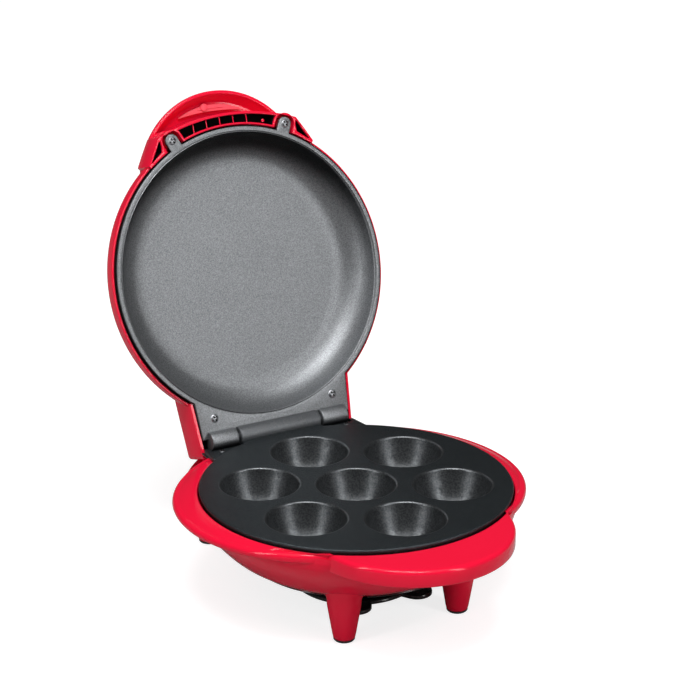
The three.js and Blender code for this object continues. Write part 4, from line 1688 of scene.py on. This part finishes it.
@dataclass
class UpperPlate:
    """The grey plate in the lid: shallow dish, ears, tongue and the two outer barrels."""

    plan: LidPlan
    radius: float = 98.1
    dish: float = 94.0
    depth: float = 20.0

    def flange_shape(self) -> Shape:
        """The flat rim with its ears and tongue.

        Returns:
            The rim's block.
        """
        face = self.plan.face
        tongue = [(57.7, 60), (57.7, 76), (55.4, 104.6), (-55.4, 104.6), (-57.7, 76), (-57.7, 60)]
        ears = []
        for direction in self.plan.ear_sides():
            h, r = self.plan.ear_half, self.plan.ear_radius
            ear = [(60, -h), *arc((r, 0), h, -90, 90, 18), (60, h)]
            ears.append(turned_by(ear, direction))
        outline = star_outline(self.radius, [tongue, *ears], 1.0)
        hole = arc((0, 0), self.dish + 1.0, 0, 360, 288)[:-1]
        return prism(outline, face, face + 3.0, 0.55, holes=[hole])

    def dish_shape(self) -> Shape:
        """The dish, from its rounded brim to its floor.

        Returns:
            The dish's skin.
        """
        face, r = self.plan.face, self.dish
        brim = [(r + 1.0, face + 0.55), (r + 0.5, face + 0.25), (r + 0.1, face + 0.6), (r - 0.2, face + 1.2)]
        wall = [(0.2, 1.2), (0.8, 3.4), (2.3, 7.4), (5.2, 12.0), (9.6, 16.0), (15.2, 18.8), (21.5, 19.9)]
        wall = [(r - inwards, face + high) for inwards, high in [*wall, (28, 20.0)]]
        return lathe([*brim[:-1], *smooth_line(wall, 6), (0, face + self.depth)], 288)

    def barrel_shape(self) -> Shape:
        """The two outer barrels.

        Returns:
            The barrels' skins.
        """
        return barrel(BARREL_RADIUS, 32.2, 51.6, 0.8).moved(0, *PLACE.hinge).both_sides()

    def build(self) -> None:
        """Makes the plate, its barrels and its screws."""
        flange = make_piece("dish_plate_rim", self.flange_shape(), BodyName.LID, GREY_COATING)
        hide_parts("upper_plate")
        make_piece("dish_plate_dish", self.dish_shape(), BodyName.LID, GREY_COATING, 60)
        make_piece("outer_barrels", self.barrel_shape(), BodyName.LID, GREY_COATING)
        head = self.plan.face - 1.0
        for side in Side:
            label = side.name.lower()
            Screw(head=2.9).build(
                f"ear_screw_{label}", f"upper_plate_front_screw_{label}", BodyName.LID,
                (*self.plan.ear_place(side), head), False,
            )
            Screw(head=3.1).build(
                f"tongue_screw_upper_{label}", f"upper_plate_rear_screw_{label}", BodyName.LID,
                (45 * side.value, 91.5, head), False,
            )


@dataclass
class HandleTrim:
    """The pale crescent under the lip, and the two lamps on top."""

    plan: LidPlan
    ceiling: float = 25.0

    def crescent_shape(self) -> Shape:
        """The crescent with its small boss and its fine steps.

        Returns:
            The crescent's blocks.
        """
        low = self.plan.face + self.ceiling - 1.5
        shape = Shape()
        for rim, chin, depth in ((52.7, 144.4, 0.0), (51.0, 146.2, 0.5)):
            half = 25.5 if depth == 0 else 21.0
            across = [half * (1 - i / 20) for i in range(41)]
            outer = [(x, self.plan.handle_y - math.sqrt(rim ** 2 - x * x)) for x in across]
            inner = [(-x, self.plan.chin_y - math.sqrt(chin ** 2 - x * x)) for x in across]
            plan = [p for p, q in zip(outer, inner[::-1]) if p[1] < q[1] - 0.3]
            back = [q for p, q in zip(outer[::-1], inner) if p[1] < q[1] - 0.3]
            if len(plan) > 3:
                shape.add(prism(plan + back, low - depth, low + 1.1, 0.25))
        return shape.add(prism(arc((-4.5, -114), 2.6, 0, 360, 28)[:-1], low - 0.9, low + 1, 0.4))

    def lens_shape(self) -> Shape:
        """One lamp lens on its own axis.

        Returns:
            The lens's skin.
        """
        line = [(0, 104, 0), (3.6, 104, 0.2), (3.6, 110.6, 0.8), (2.0, 111.9, 1.0), (0, 112.2, 0)]
        return lathe(filleted(line, 5), 40)

    def build(self) -> None:
        """Makes the crescent and the lamps."""
        liner = make_piece("grip_crescent", self.crescent_shape(), BodyName.LID, PANEL_RED)
        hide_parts("handle_liner")
        power = make_piece("power_lamp", self.lens_shape().moved(-11, -90), BodyName.LID, RED_LENS)
        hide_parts("power_light_lens")
        ready = make_piece("ready_lamp", self.lens_shape().moved(11, -90), BodyName.LID, GREEN_LENS)
        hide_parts("ready_light_lens")


@dataclass
class InnerWorks:
    """The heaters and other pieces inside, which keep their CAD shapes."""

    finishes: dict[str, Finish] = field(default_factory=lambda: {
        "lower_heating_element": SHEATH,
        "upper_heating_element": SHEATH,
        "lower_heat_shield": SHEET,
        "upper_heat_shield": SHEET,
        "thermostat": CERAMIC,
        "terminal_block": CERAMIC,
        "thermal_fuse": STEEL,
        "hinge_pin": STEEL,
        "lamp_holder": BLACK,
    })

    def dress(self) -> None:
        """Gives each inner node its finish."""
        for node, finish in self.finishes.items():
            piece = frame["nodes"][node]
            piece.data.materials.clear()
            piece.data.materials.append(finish.material())
            piece.data.shade_smooth()
            piece.data.set_sharp_from_angle(angle=math.radians(40))
            LOG.info("%s: dressed", node)


# ------------------------------------------------------------------ room


@dataclass
class Room:
    """The camera, the pale floor and the soft lamps."""

    azimuth: float = -29.807
    elevation: float = 20.74
    lens: float = 138.04
    eye: Point3 = (-790.0, -1371.0, 766.7)

    def camera(self) -> None:
        """Sets up the camera."""
        az, el = math.radians(self.azimuth), math.radians(self.elevation)
        ahead = Vector((-math.sin(az) * math.cos(el), math.cos(az) * math.cos(el), -math.sin(el)))
        right = Vector((math.cos(az), math.sin(az), 0))
        up = right.cross(ahead)
        data = bpy.data.cameras.new("studio_camera")
        data.lens, data.sensor_width = self.lens, 36.0
        data.clip_start, data.clip_end = 0.05, 50.0
        eye = bpy.data.objects.new("studio_camera", data)
        bpy.context.scene.collection.objects.link(eye)
        turn = Matrix((right, up, -ahead)).transposed().to_4x4()
        place = Vector((self.eye[0], self.eye[1] + PLACE.shift_y, self.eye[2])) * MM
        eye.matrix_world = Matrix.Translation(place) @ turn
        bpy.context.scene.camera = eye

    def floor(self) -> None:
        """Makes the flat pale floor."""
        line = [(-16.0, 0.0), (0.0, 0.0), (16.0, 0.0)]
        rings = [[(x, y, z) for x in (-16.0, 16.0)] for y, z in smooth_line(line, 6)]
        shape = loft(rings, closed=False)
        mesh = bpy.data.meshes.new("studio_floor")
        mesh.from_pydata(shape.points, [], shape.faces)
        mesh.shade_smooth()
        floor = bpy.data.objects.new("studio_floor", mesh)
        bpy.context.scene.collection.objects.link(floor)
        made = bpy.data.materials.new("studio_floor")
        made.use_nodes = True
        shader = made.node_tree.nodes["Principled BSDF"]
        shader.inputs["Base Color"].default_value = (0.42, 0.42, 0.42, 1)
        shader.inputs["Roughness"].default_value = 0.9
        shader.inputs["Specular IOR Level"].default_value = 0.0
        shader.inputs["Emission Color"].default_value = (1.0, 1.0, 1.0, 1)
        nodes = Nodes(made.node_tree)
        seen = nodes.add("ShaderNodeLightPath")
        glow = nodes.add("ShaderNodeMath", operation="MULTIPLY")
        glow.inputs[1].default_value = 0.80
        nodes.link(seen, "Is Camera Ray", glow, 0)
        nodes.link(glow, 0, shader, "Emission Strength")
        mesh.materials.append(made)

    def lamp(self, name: str, at: Point3, size: Point2, power: float, aim: Point3 = (0.0, 0.0, 0.12)) -> None:
        """Makes one soft rectangular lamp.

        Args:
            name: the lamp's name.
            at: its place, in metres.
            size: its width and height, in metres.
            power: its power, in watts.
            aim: the point it faces.
        """
        data = bpy.data.lights.new(name, "AREA")
        data.shape, data.size, data.size_y, data.energy = "RECTANGLE", size[0], size[1], power
        lamp = bpy.data.objects.new(name, data)
        bpy.context.scene.collection.objects.link(lamp)
        lamp.location = at
        lamp.rotation_mode = "QUATERNION"
        lamp.rotation_quaternion = (Vector(aim) - Vector(at)).to_track_quat("-Z", "Y")

    def sun(self, toward: Point3, strength: float, spread: float) -> None:
        """Makes the broad soft light from above.

        Args:
            toward: the direction that the light comes from.
            strength: its irradiance, in watts per square metre.
            spread: the width of its disc, in degrees.
        """
        data = bpy.data.lights.new("ceiling_light", "SUN")
        data.energy, data.angle = strength, math.radians(spread)
        sun = bpy.data.objects.new("ceiling_light", data)
        bpy.context.scene.collection.objects.link(sun)
        sun.rotation_mode = "QUATERNION"
        sun.rotation_quaternion = Vector(toward).to_track_quat("Z", "Y")

    def air(self) -> None:
        """Sets the soft light that comes from all round."""
        world = bpy.data.worlds.new("studio_air")
        bpy.context.scene.world = world
        world.use_nodes = True
        back = world.node_tree.nodes["Background"]
        back.inputs["Color"].default_value = (1.0, 1.0, 1.0, 1)
        nodes = Nodes(world.node_tree)
        seen = nodes.add("ShaderNodeLightPath")
        level = nodes.add("ShaderNodeMath", operation="MULTIPLY_ADD")
        level.inputs[1].default_value = 0.96
        level.inputs[2].default_value = 0.05
        nodes.link(seen, "Is Camera Ray", level, 0)
        nodes.link(level, 0, back, "Strength")

    def build(self) -> None:
        """Makes the whole room."""
        self.camera()
        self.floor()
        self.air()
        self.sun((-0.15, -0.25, 1.0), 1.0, 60.0)
        self.lamp("overhead_strip", (-0.36, -0.62, 1.87), (1.0, 0.4), 25.0)
        self.lamp("strip_left", (-1.75, -0.35, 1.0), (0.22, 1.7), 13.0)
        self.lamp("strip_right", (0.70, -1.75, 1.0), (0.24, 1.7), 17.0)
        scene = bpy.context.scene
        scene.view_settings.view_transform = "Standard"
        scene.view_settings.look = "None"


def main() -> None:
    """Builds the room and every sub-assembly."""
    logging.basicConfig(level=logging.INFO, format="%(message)s")
    Room().build()
    plan = LidPlan()
    housing = BaseHousing()
    for part in (housing, LowerPlate(), Underside(), LidShell(plan), UpperPlate(plan), HandleTrim(plan)):
        LOG.info("building %s", type(part).__name__)
        part.build()
    FootPads().build(housing)
    InnerWorks().dress()


if __name__ == "__main__":
    main()
